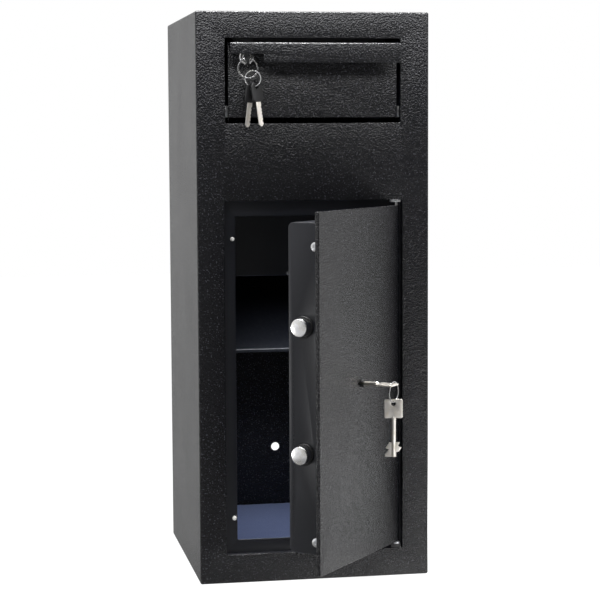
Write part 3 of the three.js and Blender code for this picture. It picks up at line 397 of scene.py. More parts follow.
def powder_coat(name, paint, painted_glint_colour, cells, depth, rough, painted_glints, dust):
    material, tree, surface = new_material(name)
    grain = use_group(tree, HAMMERED, Cells=cells, Fleck_Amount=painted_glints)
    worn = use_group(tree, EDGES, Width=0.7 * MM, Breakup=0.75)["Edge"]
    settled = use_group(tree, DUST, Amount=dust)["Dust"]
    clouded = mix_colours(tree, grain["Cloud"], tuple(0.82 * level for level in paint), paint)
    # Painted glints: lighter flecks mixed into the coat's colour in place of the glints of its dimples
    with_painted_glints = mix_colours(tree, grain["PaintedGlint"], clouded, painted_glint_colour)
    edged = mix_colours(tree, math_node(tree, "MULTIPLY", worn, 0.35), with_painted_glints, WORN_PAINT)
    dusty = mix_colours(tree, settled, edged, DUST_ON_PAINT)
    shine = ramp_node(tree, grain["Cloud"], 0.3, 0.7, rough - 0.015, rough + 0.02)
    dulled = math_node(tree, "ADD", shine, math_node(tree, "MULTIPLY", settled, 0.5))
    feed(tree, surface, Base_Color=dusty, Roughness=dulled, Specular_IOR_Level=0.5,
         Normal=bump_node(tree, grain["Height"], depth))
    return material


def plated(name, colour, rough, lines=(60, 60, 900), depth=0.02 * MM, tint=(0.9, 0.88, 0.82)):
    material, tree, surface = new_material(name)
    metal = use_group(tree, METAL, Across_X=lines[0], Across_Y=lines[1], Across_Z=lines[2])
    worn = use_group(tree, EDGES, Width=0.4 * MM, Breakup=0.4)["Edge"]
    stained = mix_colours(tree, ramp_node(tree, metal["Stain"], 0.4, 0.7), colour,
                          tuple(level * shade for level, shade in zip(colour, tint)))
    bright = mix_colours(tree, math_node(tree, "MULTIPLY", worn, 0.4), stained, WORN_METAL)
    shine = ramp_node(tree, metal["Stain"], 0.3, 0.75, rough * 0.8, rough * 1.3)
    feed(tree, surface, Base_Color=bright, Metallic=1.0, Roughness=shine,
         Normal=bump_node(tree, metal["Height"], depth))
    return material


def moulded(name, colour, rough, cells, depth, dust):
    material, tree, surface = new_material(name)
    grain = use_group(tree, HAMMERED, Cells=cells, Fleck_Amount=0.2)
    settled = use_group(tree, DUST, Amount=dust)["Dust"]
    base = mix_colours(tree, grain["Cloud"], tuple(0.75 * level for level in colour), colour)
    dusty = mix_colours(tree, settled, base, DUST_ON_PLASTIC)
    shine = ramp_node(tree, grain["Cloud"], 0.3, 0.7, rough - 0.06, rough + 0.06)
    feed(tree, surface, Base_Color=dusty, Roughness=shine, Normal=bump_node(tree, grain["Height"], depth))
    return material


def felt(name):
    """Short dense pile: a matted fibre pattern with a soft sheen."""
    material, tree, surface = new_material(name)
    place = object_place(tree)
    matted = noise_node(tree, place, 420.0, 8.0, 0.75, 1.4)
    patch = noise_node(tree, place, 30.0, 4.0, 0.6)
    lint = noise_node(tree, place, 1100.0, 2.0)
    pile = mix_colours(tree, ramp_node(tree, matted, 0.3, 0.7), *FELT_FIBRES)
    shaded = mix_colours(tree, ramp_node(tree, patch, 0.35, 0.75), pile, FELT_PATCH)
    speckled = mix_colours(tree, ramp_node(tree, lint, 0.7, 0.8, 0.0, 0.35), shaded, FELT_LINT)
    feed(tree, surface, Base_Color=speckled, Roughness=0.95, Sheen_Weight=0.5, Sheen_Roughness=0.5,
         Normal=bump_node(tree, matted, 0.5 * MM))
    surface.inputs["Sheen Tint"].default_value = (*FELT_SHEEN, 1)
    return material


MATERIALS = {
    # The second colour of each coat is its painted glints: lighter flecks standing in for glints
    "hammered_coat": powder_coat("hammered_coat", (0.0035, 0.0036, 0.005), (0.06, 0.06, 0.07),
                                 cells=440, depth=0.75 * MM, rough=0.25, painted_glints=0.7, dust=0.1),
    "inner_coat": powder_coat("inner_coat", (0.007, 0.0078, 0.012), (0.02, 0.02, 0.028),
                              cells=640, depth=0.09 * MM, rough=0.36, painted_glints=0.3, dust=0.08),
    "zinc_plate": plated("zinc_plate", (0.62, 0.63, 0.66), 0.34),
    "bright_chrome": plated("bright_chrome", (0.93, 0.93, 0.95), 0.22, (500, 500, 500), 0.008 * MM),
    "key_nickel": plated("key_nickel", (0.95, 0.91, 0.86), 0.42, (700, 700, 90)),
    "bare_steel": plated("bare_steel", (0.5, 0.5, 0.51), 0.32, (90, 90, 1200)),
    "black_plastic": moulded("black_plastic", (0.008, 0.008, 0.009), 0.5, 900, 0.03 * MM, 0.04),
    "blue_felt": felt("blue_felt"),
    "pale_rubber": moulded("pale_rubber", (0.66, 0.65, 0.62), 0.6, 700, 0.03 * MM, 0.02),
}


# Pieces: every new one takes its body and its finish from the node that it stands for

def shade_smooth(mesh, angle):
    for face in mesh.polygons:
        face.use_smooth = True
    mesh.set_sharp_from_angle(angle=angle)


def mesh_of(name, shape):
    mesh = bpy.data.meshes.new(name)
    shape.to_mesh(mesh)
    shape.free()
    return mesh


def linked(name, mesh):
    piece = bpy.data.objects.new(name, mesh)
    bpy.context.scene.collection.objects.link(piece)
    return piece


def stand_for(nodes, name, shape, angle=SMOOTH_ANGLE):
    piece = linked(name, mesh_of(name, shape))
    piece.data.materials.append(MATERIALS[slot_of[nodes[0]]])
    shade_smooth(piece.data, angle)
    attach(piece, body_of[nodes[0]])
    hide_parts(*nodes)
    return piece


def combined(shapes, operation):
    """One closed solid from several: the first joined with the others, or cut by them."""
    pieces = [linked(f"blank_{index}", mesh_of(f"blank_{index}", shape))
              for index, shape in enumerate(shapes)]
    for other in pieces[1:]:
        step = pieces[0].modifiers.new("combine", "BOOLEAN")
        step.operation = operation
        step.solver = "EXACT"
        step.object = other
    graph = bpy.context.evaluated_depsgraph_get()
    result = bmesh.new()
    result.from_mesh(pieces[0].evaluated_get(graph).to_mesh())
    for piece in pieces:
        mesh = piece.data
        bpy.data.objects.remove(piece)
        bpy.data.meshes.remove(mesh)
    return result


def centre_of(node):
    low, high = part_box(node)
    return (low + high) / 2


def end_of(x, low, high):
    """The middle of a box's end at that x."""
    return Vector((x, (low.y + high.y) / 2, (low.z + high.z) / 2))


# Shapes

def arc(centre, radius, start, sweep, steps):
    """Points of an arc, its angles in degrees."""
    turns = [math.radians(start + sweep * step / steps) for step in range(steps + 1)]
    return [(centre[0] + radius * math.cos(turn), centre[1] + radius * math.sin(turn)) for turn in turns]


def rounded_loop(low, high, radius, steps=CORNER_STEPS):
    inner_low = (low[0] + radius, low[1] + radius)
    inner_high = (high[0] - radius, high[1] - radius)
    corners = [(inner_high[0], inner_low[1]), inner_high, (inner_low[0], inner_high[1]), inner_low]
    points = []
    for index, corner in enumerate(corners):
        points += arc(corner, radius, 90 * index - 90, 90, steps)
    return points


def circle_loop(centre, radius):
    return arc(centre, radius, 0, 360, SMALL_STEPS)[:-1]


def upright(y):
    """Lifts a point of an outline drawn across and up on to the plane at that depth."""
    return lambda across, up: Vector((across, y, up))


def crosswise(x):
    """Lifts a point of an outline drawn deep and up on to the plane at that x."""
    return lambda deep, up: Vector((x, deep, up))


def new_points(made):
    """The vertices among what an extrusion made."""
    return [part for part in made["geom"] if isinstance(part, bmesh.types.BMVert)]


def rim(shape, loop, lift):
    """The closed ring of edges along an outline."""
    ring = [shape.verts.new(lift(*point)) for point in loop]
    return [shape.edges.new((ring[index - 1], ring[index])) for index in range(len(ring))]


def plate(loops, lift, thickness):
    """A flat sheet from its outline and the outlines of its holes."""
    shape = bmesh.new()
    rims = [edge for loop in loops for edge in rim(shape, loop, lift)]
    bmesh.ops.triangle_fill(shape, use_beauty=True, use_dissolve=False, edges=rims)
    made = bmesh.ops.extrude_face_region(shape, geom=shape.faces[:])
    bmesh.ops.translate(shape, verts=new_points(made), vec=thickness)
    bmesh.ops.recalc_face_normals(shape, faces=shape.faces[:])
    return shape


def ease(shape, radius, segments=3, pick=lambda middle: True):
    """Rounds the sharp edges whose middle is picked."""
    found = []
    for edge in shape.edges:
        if len(edge.link_faces) == 2 and edge.calc_face_angle(0) > CREASE_ANGLE:
            if pick((edge.verts[0].co + edge.verts[1].co) / 2):
                found.append(edge)
    bmesh.ops.bevel(shape, geom=found, offset=radius, offset_type="OFFSET", segments=segments,
                    profile=0.5, affect="EDGES", clamp_overlap=False, material=-1)
    return shape


def spun(profile, start, along, steps=ROUND_STEPS):
    """A turned piece: the profile is (radius, how far along the axis from start)."""
    axis = along.normalized()
    side = axis.orthogonal().normalized()
    shape = bmesh.new()
    rail = [shape.verts.new(start + axis * reach + side * radius) for radius, reach in profile]
    edges = [shape.edges.new((rail[index], rail[index + 1])) for index in range(len(rail) - 1)]
    if profile[0][0] > 0:
        edges.append(shape.edges.new((rail[-1], rail[0])))
    bmesh.ops.spin(shape, geom=rail + edges, cent=start, axis=axis, angle=math.tau, steps=steps,
                   use_merge=True)
    bmesh.ops.remove_doubles(shape, verts=shape.verts[:], dist=WELD)
    bmesh.ops.recalc_face_normals(shape, faces=shape.faces[:])
    return shape


def softened(node, radius, segments=2):
    """A copy of a node's solid with its arrises eased."""
    shape = bmesh.new()
    shape.from_mesh(frame["nodes"][node].data)
    bmesh.ops.remove_doubles(shape, verts=shape.verts[:], dist=WELD)
    bmesh.ops.dissolve_limit(shape, angle_limit=FLAT_ANGLE, verts=shape.verts[:],
                             edges=shape.edges[:])
    return ease(shape, radius, segments)


def bent_path(points):
    """A line of (deep, up) points with its inner corners rounded."""
    line = [Vector(point) for point in points]
    path = [line[0]]
    for before, corner, after in zip(line, line[1:], line[2:]):
        back, ahead = (before - corner).normalized(), (after - corner).normalized()
        half = back.angle(ahead) / 2
        run = BEND_RADIUS / math.tan(half)
        first, last = corner + back * run, corner + ahead * run
        centre = corner + (back + ahead).normalized() * (BEND_RADIUS / math.sin(half))
        for step in range(CORNER_STEPS + 1):
            mixed = first.lerp(last, step / CORNER_STEPS) - centre
            path.append(centre + mixed.normalized() * BEND_RADIUS)
    path.append(line[-1])
    return path


def folded(points, span):
    """A bent sheet: its path runs in (deep, up), and it reaches across from span[0] to span[1]."""
    shape = bmesh.new()
    path = [shape.verts.new((span[0], point.x, point.y)) for point in bent_path(points)]
    edges = [shape.edges.new(pair) for pair in zip(path, path[1:])]
    made = bmesh.ops.extrude_edge_only(shape, edges=edges)
    bmesh.ops.translate(shape, verts=new_points(made), vec=ACROSS * (span[1] - span[0]))
    bmesh.ops.recalc_face_normals(shape, faces=shape.faces[:])
    bmesh.ops.solidify(shape, geom=shape.faces[:], thickness=WALL_SHEET)
    bmesh.ops.recalc_face_normals(shape, faces=shape.faces[:])
    return shape


# Cabinet

FRONT_LOW, FRONT_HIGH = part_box("front_plate")
BACK_LOW, BACK_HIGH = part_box("back_panel")
REBATE_LOW, REBATE_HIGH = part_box("door_rebate")
DRAWER_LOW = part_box("drawer_front")[0]
DOOR_OPENING = (
    (REBATE_LOW.x + WALL_SHEET, REBATE_LOW.z + WALL_SHEET),
    (REBATE_HIGH.x - WALL_SHEET, REBATE_HIGH.z - WALL_SHEET),
)
DRAWER_OPENING = ((-132 * MM, 686.5 * MM), (132 * MM, 811 * MM))
# How far the lip reaches into the opening: at the left and bottom, then at the right and top
REBATE_LIP = ((17.6 * MM, 20.4 * MM), (17.6 * MM, 22.4 * MM))


def cabinet_wrap():
    """Sides, top and bottom, folded from one sheet round the four long bends."""
    low, high = (FRONT_LOW.x, 0), (FRONT_HIGH.x, FRONT_HIGH.z)
    outer = rounded_loop(low, high, CORNER_RADIUS)
    inner = rounded_loop((low[0] + WALL_SHEET, low[1] + WALL_SHEET),
                         (high[0] - WALL_SHEET, high[1] - WALL_SHEET), CORNER_RADIUS - WALL_SHEET)
    shape = plate([outer, inner], upright(FRONT_HIGH.y), DEEP * (BACK_LOW.y - FRONT_HIGH.y))
    stand_for(["side_left", "side_right", "top_panel", "bottom_panel"], "cabinet_wrap", shape)


def front_plate():
    outline = rounded_loop((FRONT_LOW.x, FRONT_LOW.z), (FRONT_HIGH.x, FRONT_HIGH.z), CORNER_RADIUS)
    holes = [rounded_loop(*opening, OPENING_CORNER_RADIUS)
             for opening in (DOOR_OPENING, DRAWER_OPENING)]
    shape = plate([outline, *holes], upright(FRONT_LOW.y), DEEP * (FRONT_HIGH.y - FRONT_LOW.y))
    margin = CORNER_RADIUS + MM

    def at_front(middle):
        return middle.y < FRONT_LOW.y + WELD

    def at_rim(middle):
        return (abs(middle.x) > FRONT_HIGH.x - margin or middle.z < margin
                or middle.z > FRONT_HIGH.z - margin)

    ease(shape, OPENING_EDGE_RADIUS, 3, lambda middle: at_front(middle) and not at_rim(middle))
    ease(shape, FRONT_EDGE_RADIUS, 6, lambda middle: at_front(middle) and at_rim(middle))
    stand_for(["front_plate"], "front_plate_coated", shape)


def back_panel():
    outline = rounded_loop((BACK_LOW.x, BACK_LOW.z), (BACK_HIGH.x, BACK_HIGH.z), CORNER_RADIUS)
    hole = circle_loop((0, ANCHOR_HOLE_HEIGHT), ANCHOR_HOLE_RADIUS)
    shape = plate([outline, hole], upright(BACK_LOW.y), DEEP * (BACK_HIGH.y - BACK_LOW.y))
    hole_level = Vector((0, 0, ANCHOR_HOLE_HEIGHT))

    def at_rear_rim(middle):
        return middle.y > BACK_HIGH.y - WELD and (middle - hole_level).length > ANCHOR_RIM_REACH

    ease(shape, BACK_EDGE_RADIUS, 4, at_rear_rim)
    stand_for(["back_panel"], "back_panel_coated", shape)


def door_rebate():
    """The frame that the door shuts against: a jamb all round and a lip behind it."""
    low, high = DOOR_OPENING
    window = ((low[0] + REBATE_LIP[0][0], low[1] + REBATE_LIP[0][1]),
              (high[0] - REBATE_LIP[1][0], high[1] - REBATE_LIP[1][1]))
    outer = ((REBATE_LOW.x, REBATE_LOW.z), (REBATE_HIGH.x, REBATE_HIGH.z))
    shape = bmesh.new()
    lift = upright(REBATE_HIGH.y - WALL_SHEET)
    outer_rim, opening_rim, window_rim = [rim(shape, rounded_loop(*corners, LIP_BEND_RADIUS), lift)
                                          for corners in (outer, (low, high), window)]
    bmesh.ops.bridge_loops(shape, edges=opening_rim + window_rim)
    lip = set(shape.faces)
    bmesh.ops.bridge_loops(shape, edges=outer_rim + opening_rim)
    jamb = [face for face in shape.faces if face not in lip]
    made = bmesh.ops.extrude_face_region(shape, geom=shape.faces[:], use_keep_orig=True)
    bmesh.ops.translate(shape, verts=new_points(made), vec=DEEP * WALL_SHEET)
    made = bmesh.ops.extrude_face_region(shape, geom=jamb)
    bmesh.ops.translate(shape, verts=new_points(made),
                        vec=DEEP * (REBATE_LOW.y - REBATE_HIGH.y + WALL_SHEET))
    bmesh.ops.recalc_face_normals(shape, faces=shape.faces[:])
    margin = 3 * MM

    def at_window(middle):
        return (window[0][0] - margin < middle.x < window[1][0] + margin
                and window[0][1] - margin < middle.z < window[1][1] + margin)

    ease(shape, REBATE_LIP_EDGE, 3, at_window)
    stand_for(["door_rebate"], "door_rebate_coated", shape)


def baffle_plate():
    low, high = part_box("baffle_plate")
    face = high.y - BAFFLE_FOOT
    points = [(low.y, high.z), (low.y, high.z - BAFFLE_FLANGE),
              (face, high.z - BAFFLE_FLANGE - BAFFLE_SLOPE_DROP), (face, low.z), (high.y, low.z)]
    shape = folded(points, (low.x, high.x))
    stand_for(["baffle_plate"], "baffle_plate_coated", shape)


def deflector_plate():
    low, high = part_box("deflector_plate")
    points = [(high.y - WALL_SHEET, high.z), (high.y - WALL_SHEET, high.z - DEFLECTOR_FLANGE),
              (low.y, low.z + DEFLECTOR_HEM), (low.y, low.z)]
    shape = folded(points, (low.x, high.x))
    stand_for(["deflector_plate"], "deflector_plate_coated", shape)


def vault_floor():
    low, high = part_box("vault_floor")
    points = [(high.y, low.z), (high.y, high.z), (low.y, high.z), (low.y, low.z)]
    shape = folded(points, (low.x, high.x))
    stand_for(["vault_floor"], "vault_floor_coated", shape)


def felt_mat():
    """The loose mat on the vault floor: it lies flat, but for a slight ripple."""
    low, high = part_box("felt_mat")
    size = (high.x - low.x, high.y - low.y)
    shape = bmesh.new()
    bmesh.ops.create_grid(shape, x_segments=FELT_SQUARES, y_segments=FELT_SQUARES, size=0.5)
    for point in shape.verts:
        across, deep = point.co.x * size[0], point.co.y * size[1]
        ripple = FELT_RIPPLE * (math.sin(across * RIPPLE_ACROSS)
                                + math.cos(deep * RIPPLE_DEEP + across * RIPPLE_SKEW))
        point.co = Vector((across, deep, ripple))
    middle = (low + high) / 2
    place = Vector((middle.x, middle.y, high.z - FELT_SINK))
    bmesh.ops.translate(shape, verts=shape.verts[:], vec=place)
    bmesh.ops.solidify(shape, geom=shape.faces[:], thickness=FELT_THICKNESS)
    bmesh.ops.recalc_face_normals(shape, faces=shape.faces[:])
    mat = stand_for(["felt_mat"], "felt_mat_laid", ease(shape, FELT_EDGE, 2))


def door_buffers():
    for node in ("door_buffer_upper", "door_buffer_lower"):
        low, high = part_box(node)
        radius, height = (high.x - low.x) / 2, high.y - low.y
        dome = [(radius * math.cos(turn), height * (0.55 + 0.45 * math.sin(turn)))
                for turn in (math.radians(15 * step) for step in range(7))]
        profile = [(0, 0), (radius, 0), *dome[:-1], (0, height)]
        foot = Vector(((low.x + high.x) / 2, high.y, (low.z + high.z) / 2))
        stand_for([node], f"{node}_moulded", spun(profile, foot, -DEEP, SMALL_STEPS))


# Door: drawn shut, then swung about its pivot

PIVOT = Vector(joints["door_hinge"]["pos_m"])
DOOR_ANGLE = -math.radians(joints["door_hinge"]["range_deg"][0])
DOOR_TURN = Matrix.Rotation(DOOR_ANGLE, 4, "Z")
DOOR_PLACE = Matrix.Translation(PIVOT) @ DOOR_TURN @ Matrix.Translation(-PIVOT)
DOOR_OUT = -(DOOR_TURN @ DEEP)


def shut_box(node):
    """A door node's lowest and highest corners with the door shut."""
    back = DOOR_PLACE.inverted()
    points = [back @ point.co for point in frame["nodes"][node].data.vertices]
    low = Vector([min(point[axis] for point in points) for axis in range(3)])
    high = Vector([max(point[axis] for point in points) for axis in range(3)])
    return low, high


def swung(shape):
    bmesh.ops.transform(shape, matrix=DOOR_PLACE, verts=shape.verts[:])
    return shape


def door_plate():
    low, high = shut_box("door_plate")
    barrel_low, barrel_high = shut_box("lock_barrel")
    centre = ((barrel_low.x + barrel_high.x) / 2, (barrel_low.z + barrel_high.z) / 2)
    half_width, half_height = KEYWAY_WIDTH / 2, KEYWAY_HEIGHT / 2
    meet = math.degrees(math.asin(half_height / BARREL_HOLE_RADIUS))
    keyway = []
    for side, start in ((1, meet), (-1, 180 + meet)):
        keyway += [(centre[0] + side * half_width, centre[1] - side * half_height),
                   (centre[0] + side * half_width, centre[1] + side * half_height)]
        keyway += arc(centre, BARREL_HOLE_RADIUS, start, 180 - 2 * meet, 20)
    outline = rounded_loop((low.x, low.z), (high.x, high.z), DOOR_CORNER_RADIUS)
    shape = plate([outline, keyway], upright(low.y), DEEP * (high.y - low.y))

    def at_rim(middle):
        inwards = min(middle.x - low.x, high.x - middle.x, middle.z - low.z, high.z - middle.z)
        return inwards < DOOR_CORNER_RADIUS + MM

    ease(shape, DOOR_EDGE_RADIUS, 4, at_rim)
    stand_for(["door_plate"], "door_plate_coated", swung(shape))


def lock_case():
    stand_for(["lock_case"], "lock_case_coated", softened("lock_case", CASE_ARRIS, 3))


def locking_bolts():
    for name in ("upper", "lower"):
        low, high = shut_box(f"bolt_{name}")
        radius = (high.z - low.z) / 2
        length = high.x - low.x
        face = radius - BOLT_CHAMFER
        profile = [(0, 0), (face, 0),
                   (face + BOLT_CHAMFER * 0.3, BOLT_CHAMFER * 0.12),
                   (radius - BOLT_CHAMFER * 0.12, BOLT_CHAMFER * 0.7), (radius, BOLT_CHAMFER),
                   (radius, length), (0, length)]
        turned = swung(spun(profile, end_of(low.x, low, high), ACROSS))
        stand_for([f"bolt_{name}"], f"bolt_{name}_turned", turned)
        low, high = shut_box(f"bolt_bush_{name}")
        outer, length = (high.z - low.z) / 2, high.x - low.x
        inner = radius + BUSH_CLEARANCE
        profile = [(inner, 0), (outer - BUSH_CHAMFER, 0), (outer, BUSH_CHAMFER), (outer, length),
                   (inner, length)]
        moulded_bush = swung(spun(profile, end_of(low.x, low, high), ACROSS))
        stand_for([f"bolt_bush_{name}"], f"bolt_bush_{name}_moulded", moulded_bush)


def case_screws():
    for name in ("upper", "lower"):
        node = f"case_screw_{name}"
        low, high = shut_box(node)
        radius, height = (high.z - low.z) / 2, high.x - low.x
        profile = [(0, height * 0.55), (radius * 0.34, height * 0.55), (radius * 0.4, height),
                   (radius * 0.62, height * 0.96), (radius * 0.86, height * 0.72), (radius, height * 0.3),
                   (radius, 0), (0, 0)]
        domed = swung(spun(profile, end_of(high.x, low, high), -ACROSS, SMALL_STEPS))
        stand_for([node], f"{node}_domed", domed)


# Vault keys: the hole at the origin, the bow upright, the stem down

def vault_key():
    half, top = BOW_SIZE[0] / 2, KEY_HOLE_FROM_END
    bow_low = top - BOW_SIZE[1]
    outline = rounded_loop((-half, bow_low), (half, top), BOW_CORNER)
    bow = plate([outline, circle_loop((0, 0), KEY_HOLE_RADIUS)], upright(-BOW_THICKNESS / 2),
                DEEP * BOW_THICKNESS)
    ease(bow, BOW_EDGE, 3)
    stem_end = bow_low - STEM_LENGTH
    collar = COLLAR_SHARE * STEM_RADIUS
    profile = [(0, 0), (STEM_RADIUS - 0.5 * MM, 0), (STEM_RADIUS, 0.5 * MM),
               (STEM_RADIUS, STEM_LENGTH - 3 * MM), (collar, STEM_LENGTH - 2.4 * MM),
               (collar, STEM_LENGTH - 0.6 * MM), (STEM_RADIUS, STEM_LENGTH),
               (STEM_RADIUS * 0.6, STEM_LENGTH + BOW_CORNER), (0, STEM_LENGTH + BOW_CORNER)]
    stem = spun(profile, UP * stem_end, UP, SMALL_STEPS)
    bit_outline = [(across * BIT_HALF_SPAN, stem_end + (1 - down) * BIT_LENGTH)
                   for across, down in BIT_SHARES]
    bits = plate([bit_outline], upright(-BIT_THICKNESS / 2), DEEP * BIT_THICKNESS)
    ease(bits, BIT_EDGE, 2)
    return combined([bow, stem, bits], "UNION")


def vault_keys():
    low, high = shut_box("door_key")
    hole = DOOR_PLACE @ Vector(((low.x + high.x) / 2, low.y + KEY_HOLE_FROM_END, (low.z + high.z) / 2))
    flat = Matrix.Translation(hole) @ DOOR_TURN @ Matrix.Rotation(QUARTER_TURN, 4, "X")
    swing = Vector(joints["spare_key_swing"]["pos_m"])
    spare_hole = Vector((swing.x, swing.y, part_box("spare_door_key")[1].z - KEY_HOLE_FROM_END))
    hanging = Matrix.Translation(spare_hole) @ Matrix.Rotation(DOOR_ANGLE - SPARE_KEY_TURN, 4, "Z")
    for node, place in (("door_key", flat), ("spare_door_key", hanging)):
        shape = vault_key()
        bmesh.ops.transform(shape, matrix=place, verts=shape.verts[:])
        stand_for([node], f"{node}_cut", shape, KEY_SMOOTH_ANGLE)


def split_ring(node, axis, wire):
    """Two turns of flattened wire, side by side."""
    centre = centre_of(node)
    low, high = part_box(node)
    radius = (high.z - low.z) / 2 - wire / 2
    axis = axis.normalized()
    side = axis.cross(UP).normalized()
    wide, thin = (share * wire for share in COIL_HALF_SECTION)
    section = rounded_loop((-wide, -thin), (wide, thin), COIL_CORNER * wire, 3)
    shape = bmesh.new()
    start = centre + side * radius - axis * (COIL_PITCH / 2 * wire)
    ring = [shape.verts.new(start + side * out + axis * along) for out, along in section]
    face = shape.faces.new(ring)
    pitch = COIL_PITCH * wire / RING_STEPS
    bmesh.ops.spin(shape, geom=[face, *face.edges, *face.verts], cent=centre, axis=axis,
                   dvec=axis * pitch, angle=2 * math.tau * COIL_SHARE, steps=2 * RING_STEPS,
                   use_merge=False)
    bmesh.ops.recalc_face_normals(shape, faces=shape.faces[:])
    stand_for([node], f"{node}_coiled", shape)


def key_rings():
    split_ring("door_key_ring", DOOR_OUT, DOOR_RING_WIRE)
    split_ring("key_ring_large", DEEP, LARGE_RING_WIRE)
    tilt = Matrix.Rotation(SMALL_RING_TILT, 4, SMALL_RING_LINK.normalized())
    split_ring("key_ring_small", tilt @ DEEP, SMALL_RING_WIRE)


# Flat keys: the hole at the origin, faces towards x

def flat_head(size):
    half, top = size[0] / 2, FLAT_HOLE_FROM_TOP
    outline = rounded_loop((-half, top - size[1]), (half, top), FLAT_HEAD_CORNER, 8)
    shape = plate([outline, circle_loop((0, 0), FLAT_HOLE_RADIUS)], crosswise(-FLAT_HEAD_THICKNESS / 2),
                  ACROSS * FLAT_HEAD_THICKNESS)
    return ease(shape, FLAT_HEAD_EDGE, 4)


def flat_blade(head_length, tang, length):
    bottom = FLAT_HOLE_FROM_TOP - head_length
    half, low = BLADE_WIDTH / 2, bottom - length
    outline = [(-half, bottom + tang), (-half, low + BLADE_TIP), (-half + BLADE_TIP, low),
               (half - BLADE_TIP, low), (half, low + BLADE_TIP)]
    pitch = (length - 2 * BLADE_TIP) / (TOOTH_COUNT + 1)
    for tooth, share in enumerate(TOOTH_SHARES):
        height = low + BLADE_TIP + pitch * (tooth + 0.5)
        outline += [(half, height), (half - TOOTH_DEPTH * share, height + pitch / 2),
                    (half, height + pitch)]
    outline.append((half, bottom + tang))
    clean = [point for index, point in enumerate(outline)
             if math.dist(point, outline[index - 1]) > WELD]
    blade = plate([clean], crosswise(-BLADE_THICKNESS / 2), ACROSS * BLADE_THICKNESS)
    width, depth = BLADE_GROOVE
    cutters = []
    for side in (-1, 1):
        face = side * BLADE_THICKNESS / 2
        groove = rounded_loop((-width / 2, low + BLADE_TIP), (width / 2, bottom + tang + MM),
                              width / 4, 2)
        cutters.append(plate([groove], crosswise(face - side * depth), ACROSS * side * 2 * depth))
    return ease(combined([blade, *cutters], "DIFFERENCE"), BLADE_EDGE, 1)


def drawer_keys():
    head_low, head_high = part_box("drawer_key_head")
    middle = (head_low + head_high) / 2
    hole = Vector((middle.x, head_low.y + FLAT_HOLE_FROM_TOP, middle.z))
    inserted = Matrix.Translation(hole) @ Matrix.Rotation(QUARTER_TURN, 4, "X")

    def hung(joint, drop, lie):
        place = Matrix.Translation(Vector(joints[joint]["pos_m"]) - UP * drop)
        return place @ Euler(lie, "XYZ").to_matrix().to_4x4()

    keys = (
        ("drawer_key", inserted, INSERTED_HEAD_SIZE, INSERTED_TANG, INSERTED_BLADE_LENGTH),
        ("hanging_key_left", hung("left_key_swing", LEFT_KEY_HANG, LEFT_KEY_LIE),
         HANGING_HEAD_SIZE, HANGING_TANG, BLADE_LENGTH),
        ("hanging_key_right", hung("right_key_swing", RIGHT_KEY_HANG, RIGHT_KEY_LIE),
         HANGING_HEAD_SIZE, HANGING_TANG, BLADE_LENGTH),
    )
    for name, place, size, tang, length in keys:
        for part, shape in (("head", flat_head(size)), ("blade", flat_blade(size[1], tang, length))):
            bmesh.ops.transform(shape, matrix=place, verts=shape.verts[:])
            stand_for([f"{name}_{part}"], f"{name}_{part}_finished", shape)


def cam_lock():
    low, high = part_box("cam_lock_body")
    radius, length = (high.x - low.x) / 2, high.y - low.y
    centre = centre_of("cam_lock_body")
    start = Vector((centre.x, low.y, centre.z))
    flange = DRAWER_LOW.y - low.y
    profile = [(LOCK_BORE_RADIUS, 0.5 * MM), (LOCK_BORE_RADIUS + 0.5 * MM, 0), (radius - 2.4 * MM, 0),
               (radius - 1.2 * MM, 0.4 * MM), (radius - 0.3 * MM, 1.3 * MM), (radius, 2.4 * MM),
               (radius, flange), (LOCK_NECK_RADIUS, flange), (LOCK_NECK_RADIUS, length),
               (LOCK_BORE_RADIUS, length)]
    stand_for(["cam_lock_body"], "cam_lock_body_turned", spun(profile, start, DEEP))
    low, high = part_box("cam_lock_plug")
    length = high.y - low.y
    start = Vector((centre.x, low.y, centre.z))
    profile = [(0, 0), (LOCK_PLUG_RADIUS - LOCK_PLUG_CHAMFER, 0), (LOCK_PLUG_RADIUS, LOCK_PLUG_CHAMFER),
               (LOCK_PLUG_RADIUS, length), (0, length)]
    plug = spun(profile, start, DEEP)
    width, height = LOCK_SLOT
    slot = rounded_loop((centre.x - width / 2, centre.z - height / 2),
                        (centre.x + width / 2, centre.z + height / 2), LOCK_SLOT_CORNER, 2)
    cutter = plate([slot], upright(low.y - MM), DEEP * LOCK_SLOT_REACH)
    plug = combined([plug, cutter], "DIFFERENCE")
    stand_for(["cam_lock_plug"], "cam_lock_plug_turned", plug)


# Folded and machined pieces that keep their own shape, with their arrises eased

EASED = {
    "drawer_front": SHEET_ARRIS, "drawer_pull": SHEET_ARRIS, "drawer_tray": SHEET_ARRIS,
    "stripper_flap": SHEET_ARRIS, "bolt_strike": SHEET_ARRIS, "lock_keeper": SHEET_ARRIS,
    "bay_cheek_left": SHEET_ARRIS, "bay_cheek_right": SHEET_ARRIS,
    "hinge_block_bottom": 0.5 * MM, "hinge_plate_top": 0.4 * MM, "hinge_washer_bottom": 0.3 * MM,
    "lock_barrel": 0.3 * MM, "baffle_screw": 0.3 * MM, "lock_cam": 0.3 * MM, "cam_lock_nut": 0.3 * MM,
    "lever_lock": 0.8 * MM, "bolt_bar": 0.5 * MM,
    "slide_rail_left": 0.2 * MM, "slide_rail_right": 0.2 * MM,
    "slide_member_left": 0.2 * MM, "slide_member_right": 0.2 * MM,
    "drawer_runner_left": 0.3 * MM, "drawer_runner_right": 0.3 * MM,
}


def eased_pieces():
    for node, radius in EASED.items():
        stand_for([node], f"{node}_eased", softened(node, radius))


def finish_the_rest():
    """The nodes that are still shown keep their shape and take their finish."""
    for name, node in frame["nodes"].items():
        if not node.hide_render:
            node.data.materials.clear()
            node.data.materials.append(MATERIALS[slot_of[name]])


